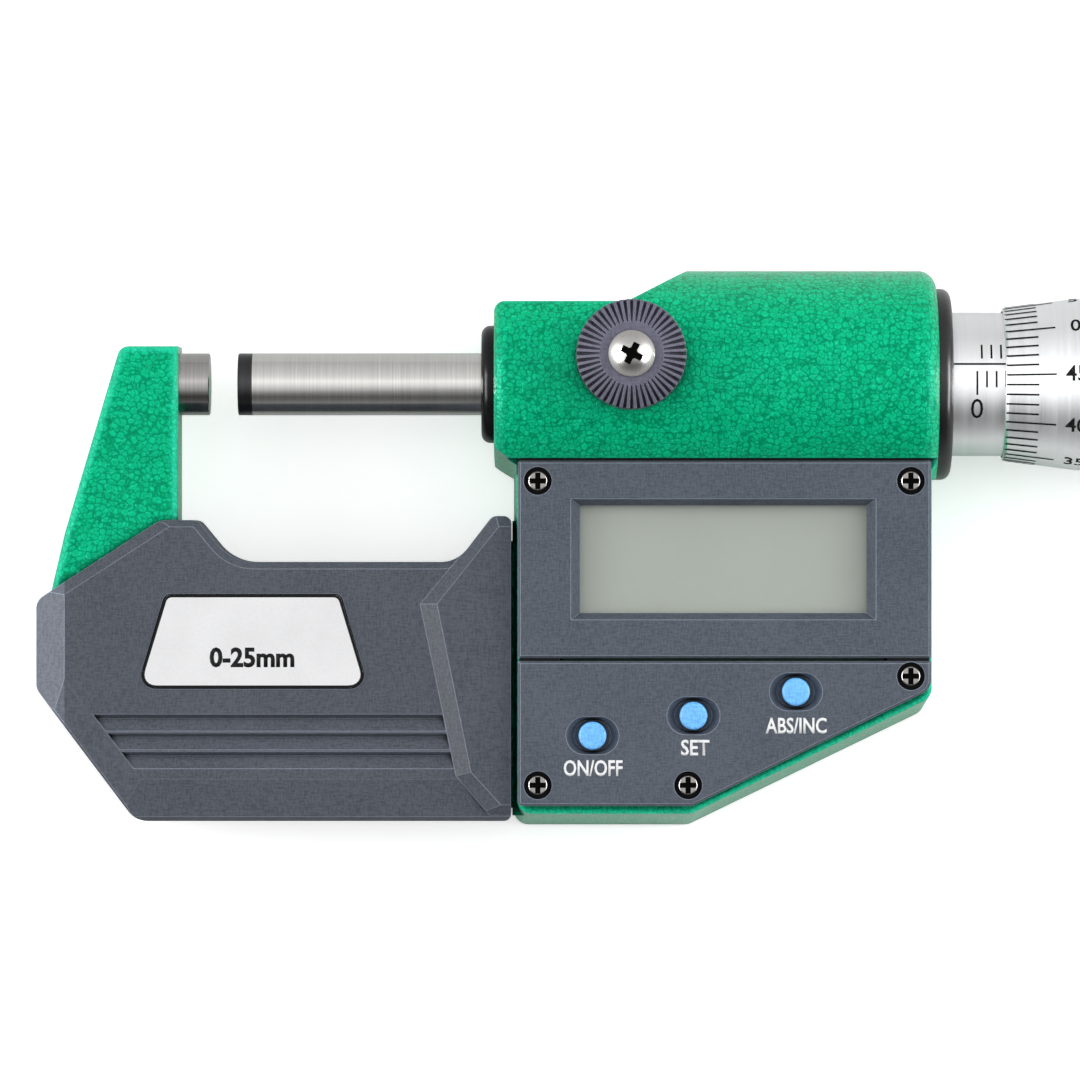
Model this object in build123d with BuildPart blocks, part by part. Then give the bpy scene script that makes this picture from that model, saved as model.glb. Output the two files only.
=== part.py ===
from build123d import *
import math
import os

os.makedirs("parts", exist_ok=True)

# Digital outside micrometer, 0 to 25 mm, lying on its back.
# X runs along the spindle, from the anvil's measuring face towards the thimble.
# Y points from the hand guards up to the spindle, and Z points to the display.
# All sizes are in millimetres.

# Cutting tools and selections reach this far past what they cut
cut_margin = 1.0
select_margin = 0.01

# Measuring line
measuring_range = 25.0
reading = 2.963
spindle_diameter = 6.5
bearing_clearance = 0.03
seat_clearance = 0.02
tip_length = 1.5
anvil_length = 3.15
anvil_shank_diameter = 4.5
anvil_shank_length = 5.0
face_bevel = 0.1

# Anvil post and bow
bow_thickness = 10.0
bridge_thickness = 5.0
web_gap = 0.12
web_end_inset = 0.5
post_top_y = 3.9
post_top_width = 6.05
post_bend_x = -14.96
post_bend_y = -15.6
post_foot_y = -27.0
post_top_radius = 1.2
post_bend_radius = 20.0
post_edge_radius = 0.7

# Spindle barrel
barrel_front_x = 29.75
barrel_length = 46.15
barrel_radius = 11.86
barrel_flat_drop = 3.38
barrel_back_cut = 1.86
ramp_start = 13.85
ramp_length = 6.3
barrel_front_rounding = 1.1
barrel_rear_rounding = 1.8
neck_front_y = -6.4
neck_back_y = -9.0
neck_slope = 0.68

# Electronics box
case_front_z = 7.3
case_left_x = 32.1
case_rear_inset = 0.7
case_bottom_y = -44.7
case_slant_run = 25.0
case_slant_y = -32.6
case_left_draft = 0.35
case_bottom_draft = 1.8
case_corner_radius = 1.6
case_edge_radius = 0.5
board_seat_z = 3.2
cavity_floor_wall = 2.5
cavity_left_room = 0.87
cavity_right_room = 1.1
cavity_top_room = 0.325
cavity_bottom_y = -39.4
cavity_slant_run = 19.17
cavity_slant_y = -30.2
cavity_radius = 1.5
board_ledge = 1.2
battery_wall_start = 1.0

# Panels over the electronics
gasket_thickness = 0.3
gasket_inset = 0.12
panel_thickness = 1.4
panel_side_margin = 0.15
panel_lower_margin = 0.85
panel_top_y = -8.07
panel_top_gap = 0.26
gasket_edge_gap = 0.02
panel_split_y = -28.68
panel_split_gap = 0.3
panel_edge = 0.25
panel_radii = [0.3, 0.5, 1.2, 1.6, 0.3]

# Display
display_left_shift = 0.13
display_y = -18.3
display_side_room = 6.7
opening_height = 11.15
opening_bevel_x = 0.95
opening_bevel_y = 0.68
opening_lip = 0.35
window_lap = 1.2
module_height = 2.2

# Circuit board and switches
board_thickness = 1.2
board_clearance = 0.3
switch_width = 3.2
switch_body_height = 1.3
switch_plunger_diameter = 1.6
switch_plunger_height = 0.55
large_chip_width = 7.0
small_chip_width = 4.0
chip_height = 1.2
chip_x = 44.1
large_chip_y = -20.0
small_chip_y = -31.5

# Push buttons
button_diameter = 2.9
button_clearance = 0.08
button_flange_diameter = 4.2
button_flange_thickness = 0.6
button_flange_gap = 0.05
button_rounding = 0.3
button_stand = 0.35
button_travel = 0.5
recess_length = 5.5
recess_width = 3.9
recess_depth = 1.0
recess_floor_length = 3.9
recess_floor_width = 3.2
left_button_inset = 7.86
left_button_y = -36.56
middle_button_shift = 3.1
middle_button_y = -34.5
right_button_inset = 14.17
right_button_y = -32.02

# Panel screws
screw_left_inset = 2.2
screw_right_inset = 2.26
screw_top_y = -10.18
screw_side_y = -30.4
screw_slant_shift = 0.33
screw_bottom_y = -41.7
screw_recess_diameter = 2.9
screw_recess_depth = 1.1
washer_thickness = 0.25
screw_head_diameter = 2.1
screw_head_height = 0.6
screw_head_rounding = 0.22
screw_shank_diameter = 1.4
screw_length = 6.0
cross_share = 0.82
cross_width = 0.55
cross_depth = 0.45

# Hand guards
guard_left_x = -17.88
guard_right_x = 31.52
guard_bottom_y = -45.55
throat_floor_y = -18.6
shoulder_y = -14.22
wing_tip_y = -13.8
guard_wall = 1.3
guard_clearance = 0.1
guard_parting = 0.2
guard_face_z = 6.5
wing_height = 0.9
wing_crest = [(30.26, -14.9), (23.84, -22.94), (27.37, -40.38), (32.92, -46.5)]
wing_foot = [(29.88, -13.6), (22.07, -22.94), (25.81, -40.8), (30.66, -46.5)]
wing_outer_x = 34.0
wing_end_bevel_width = 1.75
wing_end_bevel_depth = 2.5
guard_chamfer = 0.7
side_bevel_width = 3.0
side_bevel_depth = 1.3
shoulder_bevel_width = 1.1
slant_bevel_width = 3.05
slant_bevel_depth = 0.5
lower_bevel_width = 4.4
lower_bevel_depth = 0.75
rim_bevel_width = 0.8
rim_bevel_depth = 1.7
bevel_reach = 5.0
boss_diameter = 5.0
boss_hole_diameter = 2.0
guard_screw_head_diameter = 3.8
guard_screw_head_height = 1.5
guard_cross_width = 0.7
guard_screw_length = 9.4
guard_screw_places = [(-11.5, -27.0), (6.0, -40.0), (27.2, -28.0)]

# Grip steps in the guards
step_first_y = -34.4
step_pitch = 1.95
step_riser = 0.4
step_depth = 0.6
step_run = 1.75
step_count = 3
step_left_x = -11.9
step_left_shift = 1.46
step_right_x = 24.4
step_right_shift = 0.42

# Plate on the front guard
plate_top_y = -22.0
plate_bottom_y = -31.66
plate_top_left_x = -4.35
plate_top_right_x = 13.75
plate_bottom_left_x = -7.3
plate_bottom_right_x = 16.65
plate_top_radius = 0.85
plate_bottom_radius = 1.5
plate_recess = 0.25
plate_stand = 0.15
plate_gap = 0.1

# Seal ring at the front of the barrel
seal_diameter = 12.3
seal_length = 1.35
seal_rounding = 0.95
seal_spigot_diameter = 9.0
seal_spigot_length = 2.0
seal_lip_clearance = 0.06

# Encoder chamber and its discs
bearing_length = 21.25
chamber_diameter = 17.0
stator_thickness = 1.2
stator_bore = 9.0
encoder_air_gap = 0.5
rotor_diameter = 14.0
rotor_disc_thickness = 1.0
rotor_hub_diameter = 9.5
rotor_hub_length = 5.0
rotor_end_play = 0.1
holder_length = 3.0
holder_clearance = 0.05
clip_thickness = 0.6
clip_diameter = 11.0
key_width = 1.2
key_clearance = 0.05
key_depth = 1.1
rotor_bore_clearance = 0.05

# Collar, inner sleeve and scale sleeve
nut_flange_length = 9.9
collar_diameter = 20.0
collar_length = 1.5
collar_rounding = 1.0
inner_sleeve_diameter = 12.0
inner_sleeve_bore = 7.5
thread_diameter = 6.35
thread_clearance = 0.04
thread_length = 15.5
thread_run_out = 1.0
collet_diameter = 10.0
collet_length = 6.0
collet_slot = 0.8
collet_slots = 3
collet_slot_depth = 8.0
sleeve_diameter = 15.0
zero_mark_offset = 2.5
sleeve_overrun = 2.6
adjusting_nut_diameter = 13.6
adjusting_nut_length = 4.8
adjusting_nut_flat = 1.0
adjusting_nut_flats = 4
adjusting_nut_gap = 0.4

# Thimble
thimble_diameter = 18.0
thimble_nose_diameter = 16.0
thimble_cone_length = 7.7
thimble_nose_chamfer = 0.3
thimble_clearance = 0.15
thimble_floor_clearance = 0.9
thimble_hub_length = 7.0
thimble_skirt = 1.7
thimble_skirt_wall = 2.7
thimble_end_rounding = 0.6
grip_length = 22.0
grip_end_margin = 3.0
grip_flutes = 60
grip_flute_depth = 0.28
hub_bore = 7.0
shoulder_diameter = 8.4
shoulder_thickness = 0.6
spindle_end_inset = 0.2
keyway_margin = 1.0

# Ratchet stop
stop_screw_thread = 3.0
stop_screw_engagement = 9.0
stop_hole_margin = 1.0
stop_collar_diameter = 9.0
stop_collar_length = 1.5
stop_stem_diameter = 4.0
stop_head_diameter = 7.2
stop_head_height = 1.6
stop_head_inset = 1.4
stop_slot_width = 1.0
stop_slot_depth = 0.7
crown_diameter = 9.2
crown_body = 1.2
crown_tooth = 0.35
crown_teeth = 16
tooth_inner_radius = 2.9
tooth_margin = 0.1
crown_gap = 0.06
stop_knob_diameter = 11.6
stop_knob_overhang = 1.2
stop_knob_gap = 0.4
stop_knob_front_chamfer = 0.4
stop_knob_rear_chamfer = 0.6
stop_knob_recess_diameter = 9.8
stop_knob_web = 2.6
stop_knob_cavity_length = 10.5
stop_knob_cavity_diameter = 8.2
stop_knob_clearance = 0.1
stop_knob_flutes = 30
stop_knob_flute_depth = 0.4
stop_spring_diameter = 6.6
stop_spring_wire = 0.8
stop_spring_turns = 3.5
stop_spring_clearance = 0.05

# Spindle lock
lock_x = 43.94
lock_y = 2.84
lock_shaft_diameter = 5.0
lock_shaft_clearance = 0.04
lock_shaft_depth = 5.8
lock_bore_relief = 0.2
lock_neck_length = 7.2
lock_neck_radius = 0.8
lock_neck_offset = 1.5
lock_knob_gap = 0.35
lock_knob_diameter = 11.24
lock_knob_height = 4.2
lock_knob_flat_diameter = 6.6
lock_knob_drop = 0.7
lock_ridges = 48
lock_ridge_depth = 0.5
lock_ridge_share = 0.8
face_groove_inner_depth = 0.16
face_groove_outer_depth = 0.6
face_groove_inner_half = 0.11
face_groove_outer_half = 0.23
face_groove_headroom = 0.2
lock_seat_diameter = 3.4
lock_seat_length = 2.4
lock_flange_diameter = 11.36
lock_flange_thickness = 0.35
lock_screw_head_diameter = 4.78
lock_screw_head_height = 1.5
lock_screw_dome_radius = 2.95
lock_cross_length = 2.3
lock_cross_width = 0.7
lock_cross_core = 1.2
lock_cross_depth = 1.0
lock_cross_turn = -27.0
lock_screw_shank_diameter = 2.0
lock_screw_length = 5.0
lock_screw_end_gap = 0.5

# Button cell in the back
battery_inset = 14.7
battery_y = -22.0
battery_diameter = 11.6
battery_thickness = 5.4
battery_side_clearance = 0.3
battery_wall = 1.4
battery_rounding = 0.4
battery_step_height = 0.3
battery_step_inset = 1.3
battery_clearance = 0.05
cap_diameter = 14.2
cap_thickness = 1.5
cap_clearance = 0.08
cap_sink = 0.2
cap_slot_length = 9.0
cap_slot_width = 1.6
cap_slot_depth = 0.7
ring_thickness = 0.4
ring_inset = 0.1
contact_width = 3.0
contact_thickness = 0.25
contact_pad = 3.0
contact_rise = 3.0
contact_offset = 2.0

# Places worked out from the sizes above
barrel_rear_x = barrel_front_x + barrel_length
barrel_flat_y = barrel_radius - barrel_flat_drop
case_back_z = barrel_back_cut - barrel_radius
case_right_x = barrel_rear_x - case_rear_inset
case_slant_x = case_right_x - case_slant_run
cavity_floor_z = case_back_z + cavity_floor_wall
opening_width = case_right_x - case_left_x - 2 * display_side_room
display_x = (case_left_x + case_right_x) / 2 - display_left_shift
battery_x = case_right_x - battery_inset
button_places = {
    "on_off": (case_left_x + left_button_inset, left_button_y),
    "set": (display_x - middle_button_shift, middle_button_y),
    "abs": (case_right_x - right_button_inset, right_button_y),
}
cavity_left_x = display_x - opening_width / 2 - window_lap - cavity_left_room
cavity_right_x = display_x + opening_width / 2 + window_lap + cavity_right_room
cavity_top_y = display_y + opening_height / 2 + window_lap + cavity_top_room
cavity_slant_x = cavity_right_x - cavity_slant_run
screw_left_x = case_left_x + screw_left_inset
screw_right_x = case_right_x - screw_right_inset
screw_bottom_x = case_slant_x - screw_slant_shift
bow_half = bow_thickness / 2
spindle_radius = spindle_diameter / 2
post_face_x = -anvil_length
chamber_front_x = barrel_front_x + bearing_length
panel_back_z = case_front_z + gasket_thickness
panel_front_z = panel_back_z + panel_thickness
board_top_z = board_seat_z + board_thickness
collar_rear_x = barrel_rear_x + collar_length
zero_mark_x = collar_rear_x + zero_mark_offset
thimble_front_x = zero_mark_x + reading
sleeve_rear_x = zero_mark_x + measuring_range + sleeve_overrun
collet_rear_x = sleeve_rear_x + collet_length
thimble_floor_x = collet_rear_x + thimble_floor_clearance + reading
hub_rear_x = thimble_floor_x + thimble_hub_length
thimble_rear_x = hub_rear_x + thimble_skirt
spindle_bore = spindle_radius + bearing_clearance

# Outline of the hand guards, seen from the display side, from the wing's top corner round
guard_corners = [
    (guard_right_x, wing_tip_y),
    (29.57, wing_tip_y),
    (25.9, throat_floor_y),
    (2.45, throat_floor_y),
    (-1.14, shoulder_y),
    (-4.92, shoulder_y),
    (guard_left_x, -22.6),
    (guard_left_x, -31.77),
    (-7.49, guard_bottom_y),
    (guard_right_x, guard_bottom_y),
]
guard_radii = [0.75, 1.0, 3.6, 5.0, 1.2, 2.0, 1.5, 1.5, 2.5, 0.75]

with BuildSketch() as guard_outline:
    with BuildLine():
        FilletPolyline(*guard_corners, radius=guard_radii, close=True)
    make_face()

# The bow follows the guards inside their walls, runs up to the post and into the box
with BuildSketch() as bow_outline:
    add(guard_outline.sketch)
    offset(amount=-guard_wall, kind=Kind.INTERSECTION)
    with BuildLine():
        FilletPolyline(
            (post_face_x, post_top_y),
            (post_face_x - post_top_width, post_top_y),
            (post_bend_x, post_bend_y),
            (guard_left_x + guard_wall, guard_corners[6][1]),
            (guard_left_x + guard_wall, post_foot_y),
            (post_face_x, post_foot_y),
            radius=[0, post_top_radius, post_bend_radius, 0, 0, 0],
            close=True,
        )
    make_face()

# Thinner bridge that joins the bow to the box, with a web down the whole side of the box
web_left_x = guard_right_x + web_gap
with BuildSketch() as bridge_outline:
    with BuildLine():
        Polyline(
            (guard_right_x - 2 * guard_wall, wing_tip_y - 2 * guard_wall),
            (web_left_x, wing_tip_y - 2 * guard_wall),
            (web_left_x, wing_tip_y - web_end_inset),
            (case_left_x + guard_wall, wing_tip_y - web_end_inset),
            (case_left_x + guard_wall, guard_bottom_y + web_end_inset),
            (web_left_x, guard_bottom_y + web_end_inset),
            (web_left_x, guard_bottom_y + guard_wall),
            (guard_right_x - 2 * guard_wall, guard_bottom_y + guard_wall),
            close=True,
        )
    make_face()

# Bow with the anvil post
with BuildPart() as bow:
    with BuildSketch():
        add(bow_outline.sketch)
    extrude(amount=bow_half, both=True)
    post_edges = [
        edge
        for edge in bow.edges().filter_by_position(Axis.Z, bow_half, bow_half)
        + bow.edges().filter_by_position(Axis.Z, -bow_half, -bow_half)
        if edge.center().Y > shoulder_y and edge.center().X < 0
    ]
    fillet(post_edges, radius=post_edge_radius)
    with BuildSketch():
        add(bridge_outline.sketch)
    extrude(amount=bridge_thickness / 2, both=True)

# Barrel blank with its flat, its ramp and its flat back
with BuildPart() as barrel:
    with BuildSketch(Plane.YZ.offset(barrel_front_x)):
        Circle(barrel_radius)
    extrude(amount=barrel_length)
    with BuildSketch():
        with BuildLine():
            Polyline(
                (barrel_front_x - cut_margin, barrel_flat_y),
                (barrel_front_x + ramp_start, barrel_flat_y),
                (barrel_front_x + ramp_start + ramp_length, barrel_radius),
                (barrel_front_x + ramp_start + ramp_length, barrel_radius + cut_margin),
                (barrel_front_x - cut_margin, barrel_radius + cut_margin),
                close=True,
            )
        make_face()
    extrude(amount=barrel_radius, both=True, mode=Mode.SUBTRACT)
    with BuildSketch(Plane.YZ.offset(barrel_front_x)):
        with Locations((0, case_back_z - barrel_radius / 2)):
            Rectangle(2 * barrel_radius, barrel_radius)
    extrude(amount=barrel_length, mode=Mode.SUBTRACT)
    rear_rim = barrel.edges().filter_by_position(
        Axis.X, barrel_rear_x - select_margin, barrel_rear_x + select_margin
    )
    fillet(rear_rim.filter_by(GeomType.CIRCLE), radius=barrel_rear_rounding)
    front_rim = barrel.edges().filter_by_position(
        Axis.X, barrel_front_x - select_margin, barrel_front_x + select_margin
    )
    fillet(front_rim, radius=barrel_front_rounding)

# Lower part of the barrel's rear rim, trimmed flush with the box
with BuildPart() as rim_trim:
    with BuildSketch():
        with Locations((case_right_x, -collar_diameter / 2)):
            Rectangle(barrel_radius, barrel_radius, align=(Align.MIN, Align.MAX))
    extrude(amount=barrel_radius, both=True)

# Corner under the barrel's front end, cut away on a drafted slant
with BuildPart() as neck_cut:
    for height, edge_y in ((case_back_z - cut_margin, neck_back_y), (barrel_radius, neck_front_y)):
        with BuildSketch(Plane.XY.offset(height)):
            with BuildLine():
                Polyline(
                    (barrel_front_x - cut_margin, edge_y + neck_slope * cut_margin),
                    (case_left_x, edge_y - neck_slope * (case_left_x - barrel_front_x)),
                    (case_left_x, -barrel_radius - cut_margin),
                    (barrel_front_x - cut_margin, -barrel_radius - cut_margin),
                    close=True,
                )
            make_face()
    loft(ruled=True)

# Electronics box, drafted towards the display side
with BuildPart() as case:
    for height, draft in ((case_back_z, 1.0), (case_front_z, 0.0)):
        left_x = case_left_x - case_left_draft * draft
        drop = case_bottom_draft * draft
        with BuildSketch(Plane.XY.offset(height)):
            with BuildLine():
                FilletPolyline(
                    (left_x, -spindle_radius),
                    (left_x, case_bottom_y - drop),
                    (case_slant_x, case_bottom_y - drop),
                    (case_right_x, case_slant_y - drop),
                    (case_right_x, -spindle_radius),
                    radius=[0, case_corner_radius, case_corner_radius, case_corner_radius, 0],
                    close=True,
                )
            make_face()
    loft(ruled=True)
    level_faces = case.faces().filter_by(Plane.XY)
    rim = [edge for edge in level_faces.edges() if edge.center().Y < panel_top_y - cut_margin]
    fillet(rim, radius=case_edge_radius)

# Outline of the cavity behind the panels
with BuildSketch() as cavity_outline:
    with BuildLine():
        FilletPolyline(
            (cavity_left_x, cavity_top_y),
            (cavity_left_x, cavity_bottom_y),
            (cavity_slant_x, cavity_bottom_y),
            (cavity_right_x, cavity_slant_y),
            (cavity_right_x, cavity_top_y),
            radius=cavity_radius,
            close=True,
        )
    make_face()

panel_screw_places = [
    (screw_left_x, screw_top_y),
    (screw_right_x, screw_top_y),
    (screw_right_x, screw_side_y),
    (screw_left_x, screw_bottom_y),
    (screw_bottom_x, screw_bottom_y),
]
battery_hole = battery_diameter / 2 + battery_side_clearance
cap_seat_z = case_back_z + cap_sink + cap_thickness
battery_floor_z = cap_seat_z + ring_thickness
battery_bottom_z = cap_seat_z + battery_clearance
battery_top_z = battery_bottom_z + battery_thickness
washer_seat_z = panel_front_z - screw_recess_depth
screw_seat_z = washer_seat_z + washer_thickness
screw_end_z = screw_seat_z - screw_length
screw_top_z = screw_seat_z + screw_head_height
lock_bore = lock_shaft_diameter / 2 + lock_shaft_clearance

# Frame: one casting of post, bow, barrel and box, with its machined bores and seats
with BuildPart() as frame:
    add(barrel.part)
    add(neck_cut.part, mode=Mode.SUBTRACT)
    add(rim_trim.part, mode=Mode.SUBTRACT)
    add(case.part)
    # Seat of the panels, cut into the barrel's flank
    with BuildSketch(Plane.XY.offset(case_front_z)):
        with Locations(((case_left_x + barrel_rear_x) / 2, panel_top_y + panel_top_gap)):
            Rectangle(barrel_length, barrel_radius, align=(Align.CENTER, Align.MAX))
    extrude(amount=barrel_radius, mode=Mode.SUBTRACT)
    add(bow.part)
    # Seat and cavity for the board, the display module and the switches
    with BuildSketch(Plane.XY.offset(board_seat_z)):
        add(cavity_outline.sketch)
    extrude(amount=barrel_radius, mode=Mode.SUBTRACT)
    with BuildSketch(Plane.XY.offset(cavity_floor_z)):
        add(cavity_outline.sketch)
        offset(amount=-board_ledge)
    extrude(amount=board_seat_z - cavity_floor_z, mode=Mode.SUBTRACT)
    # Round wall and stepped mouth of the cell compartment
    with BuildSketch(Plane.XY.offset(case_back_z + battery_wall_start)):
        with Locations((battery_x, battery_y)):
            Circle(battery_hole + battery_wall)
    extrude(amount=battery_top_z - case_back_z - battery_wall_start)
    with BuildSketch(Plane.XY.offset(case_back_z)):
        with Locations((battery_x, battery_y)):
            Circle(battery_hole)
    extrude(amount=battery_top_z - case_back_z + cut_margin, mode=Mode.SUBTRACT)
    with BuildSketch(Plane.XY.offset(case_back_z)):
        with Locations((battery_x, battery_y)):
            Circle(cap_diameter / 2 + cap_clearance)
    extrude(amount=battery_floor_z - case_back_z, mode=Mode.SUBTRACT)
    # Tapped holes of the panel screws
    with BuildSketch(Plane.XY.offset(case_front_z)):
        with Locations(*panel_screw_places):
            Circle(screw_shank_diameter / 2 + seat_clearance)
    extrude(amount=-(case_front_z - screw_end_z), mode=Mode.SUBTRACT)
    # Spindle bearing, encoder chamber and seal seat
    with BuildSketch(Plane.YZ.offset(barrel_front_x)):
        Circle(spindle_bore)
    extrude(amount=barrel_length, mode=Mode.SUBTRACT)
    with BuildSketch(Plane.YZ.offset(chamber_front_x)):
        Circle(chamber_diameter / 2)
    extrude(amount=barrel_rear_x - chamber_front_x, mode=Mode.SUBTRACT)
    with BuildSketch(Plane.YZ.offset(barrel_front_x)):
        Circle(seal_spigot_diameter / 2 + seat_clearance)
    extrude(amount=seal_spigot_length, mode=Mode.SUBTRACT)
    # Cross bore of the spindle lock
    with BuildSketch(Plane.XY.offset(-lock_shaft_depth - lock_bore_relief)):
        with Locations((lock_x, lock_y)):
            Circle(lock_bore)
    extrude(amount=barrel_radius + lock_shaft_depth + cut_margin, mode=Mode.SUBTRACT)
    # Anvil hole in the post
    with BuildSketch(Plane.YZ.offset(post_face_x)):
        Circle(anvil_shank_diameter / 2 + seat_clearance)
    extrude(amount=-anvil_shank_length, mode=Mode.SUBTRACT)
    # Holes for the guards' bosses
    with BuildSketch(Plane.XY.offset(-bow_half)):
        with Locations(*guard_screw_places):
            Circle(boss_diameter / 2 + guard_clearance)
    extrude(amount=bow_thickness, mode=Mode.SUBTRACT)
frame.part.label = "frame"
export_step(frame.part, "parts/frame.step")

# Anvil: hardened pin, its face lapped square to the spindle
with BuildPart() as anvil:
    with BuildSketch():
        with BuildLine():
            Polyline(
                (0, 0),
                (0, spindle_radius - face_bevel),
                (-face_bevel, spindle_radius),
                (post_face_x, spindle_radius),
                (post_face_x, anvil_shank_diameter / 2),
                (post_face_x - anvil_shank_length, anvil_shank_diameter / 2),
                (post_face_x - anvil_shank_length, 0),
                close=True,
            )
        make_face()
    revolve(axis=Axis.X)
anvil.part.label = "anvil"
export_step(anvil.part, "parts/anvil.step")

# Raised wing beside the box, with a bank that slopes down to its left and round its tip
wing_z = guard_face_z + wing_height
with BuildPart() as wing:
    for height, bank in ((guard_face_z, wing_foot), (wing_z, wing_crest)):
        with BuildSketch(Plane.XY.offset(height)):
            Polygon(*bank, (wing_outer_x, bank[-1][1]), (wing_outer_x, bank[0][1]), align=None)
    loft(ruled=True)
    with BuildSketch(Plane.XY.offset(bow_half)):
        Polygon(*wing_foot, (wing_outer_x, wing_foot[-1][1]), (wing_outer_x, wing_foot[0][1]), align=None)
    extrude(amount=guard_face_z - bow_half)
    with BuildSketch(Plane.XY.offset(bow_half)):
        add(guard_outline.sketch)
    extrude(amount=wing_z, mode=Mode.INTERSECT)
    # Steep bevel across its lower end
    with BuildSketch(Plane.YZ.offset(wing_crest[1][0])):
        Polygon(
            (guard_bottom_y, wing_z - wing_end_bevel_depth),
            (guard_bottom_y + wing_end_bevel_width, wing_z),
            (guard_bottom_y + wing_end_bevel_width, wing_z + cut_margin),
            (guard_bottom_y - cut_margin, wing_z + cut_margin),
            (guard_bottom_y - cut_margin, wing_z - wing_end_bevel_depth),
            align=None,
        )
    extrude(amount=wing_outer_x - wing_crest[1][0], mode=Mode.SUBTRACT)

# Bevelled edges of the guards, each with its start, end, width and drop
guard_bevels = [
    (guard_corners[5], guard_corners[6], shoulder_bevel_width, guard_chamfer),
    (guard_corners[6], guard_corners[7], side_bevel_width, side_bevel_depth),
    (guard_corners[7], guard_corners[8], slant_bevel_width, slant_bevel_depth),
    (guard_corners[8], guard_corners[9], lower_bevel_width, lower_bevel_depth),
    (guard_corners[8], guard_corners[9], rim_bevel_width, rim_bevel_depth),
]

# Grip steps: a short steep riser, then a long shallow run back up, cut off along slanted ends
step_stack = step_count * step_pitch
with BuildPart() as grip_steps:
    for step in range(step_count):
        top_y = step_first_y - step * step_pitch
        with BuildSketch(Plane.YZ.offset(step_left_x)):
            Polygon(
                (top_y, guard_face_z),
                (top_y - step_riser, guard_face_z - step_depth),
                (top_y - step_run, guard_face_z),
                align=None,
            )
        extrude(amount=step_right_x - step_left_x + step_count * step_right_shift)
    with BuildSketch(Plane.XY.offset(bow_half)):
        Polygon(
            (step_left_x, step_first_y),
            (step_left_x + step_count * step_left_shift, step_first_y - step_stack),
            (step_right_x + step_count * step_right_shift, step_first_y - step_stack),
            (step_right_x, step_first_y),
            align=None,
        )
    extrude(amount=guard_face_z, mode=Mode.INTERSECT)

# Moulded guard shell for the display side: walls round the bow, bevels, wing and grip steps
with BuildPart() as guard_shell:
    with BuildSketch(Plane.XY.offset(guard_parting / 2)):
        add(guard_outline.sketch)
    extrude(amount=guard_face_z - guard_parting / 2)
    chamfer(guard_shell.faces().sort_by(Axis.Z)[-1].edges(), length=guard_chamfer)
    # Broad bevels below the post, down the left side, the lower slant and the lower edge
    for start, end, width, depth in guard_bevels:
        along = Vector(*end) - Vector(*start)
        inward = Vector(0, 0, 1).cross(along)
        outset = along.normalized() * bevel_reach
        with BuildSketch(Plane(origin=Vector(*start) - outset, x_dir=inward, z_dir=along)):
            Polygon(
                (-bevel_reach, guard_face_z - depth - depth / width * bevel_reach),
                (width, guard_face_z),
                (-bevel_reach, guard_face_z + bevel_reach),
                align=None,
            )
        extrude(amount=along.length + 2 * bevel_reach, mode=Mode.SUBTRACT)
    add(grip_steps.part, mode=Mode.SUBTRACT)
    add(wing.part)
    # Room for the bow and the post
    with BuildSketch():
        add(bow_outline.sketch)
        offset(amount=guard_clearance, kind=Kind.INTERSECTION)
    extrude(amount=bow_half, mode=Mode.SUBTRACT)
    with BuildSketch():
        add(bridge_outline.sketch)
        offset(amount=guard_clearance, kind=Kind.INTERSECTION)
    extrude(amount=bridge_thickness / 2 + guard_clearance, mode=Mode.SUBTRACT)

with BuildPart() as front_guard:
    add(guard_shell.part)
    # Blind bosses that reach through the bow and take the screws
    with BuildSketch(Plane.XY.offset(guard_parting / 2)):
        with Locations(*guard_screw_places):
            Circle(boss_diameter / 2)
            Circle(boss_hole_diameter / 2, mode=Mode.SUBTRACT)
    extrude(amount=bow_half - guard_parting / 2)
    # Shallow seat of the plate
    with BuildSketch(Plane.XY.offset(guard_face_z - plate_recess)):
        with BuildLine():
            FilletPolyline(
                (plate_top_left_x - plate_gap, plate_top_y + plate_gap),
                (plate_bottom_left_x - plate_gap, plate_bottom_y - plate_gap),
                (plate_bottom_right_x + plate_gap, plate_bottom_y - plate_gap),
                (plate_top_right_x + plate_gap, plate_top_y + plate_gap),
                radius=[plate_top_radius, plate_bottom_radius, plate_bottom_radius, plate_top_radius],
                close=True,
            )
        make_face()
    extrude(amount=wing_z, mode=Mode.SUBTRACT)
front_guard.part.label = "front_guard"
export_step(front_guard.part, "parts/front_guard.step")

with BuildPart() as rear_guard:
    add(guard_shell.part)
    with BuildSketch(Plane.XY.offset(guard_parting / 2)):
        with Locations(*guard_screw_places):
            Circle(boss_diameter / 2)
    extrude(amount=bow_half - guard_parting / 2)
    with BuildSketch():
        with Locations(*guard_screw_places):
            Circle(boss_hole_diameter / 2 + 2 * seat_clearance)
    extrude(amount=wing_z, mode=Mode.SUBTRACT)
    with BuildSketch(Plane.XY.offset(wing_z)):
        with Locations(*guard_screw_places):
            Circle(guard_screw_head_diameter / 2 + guard_clearance)
    extrude(amount=-(wing_z - bow_half), mode=Mode.SUBTRACT)
    mirror(about=Plane.XY, mode=Mode.REPLACE)
rear_guard.part.label = "rear_guard"
export_step(rear_guard.part, "parts/rear_guard.step")

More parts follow.
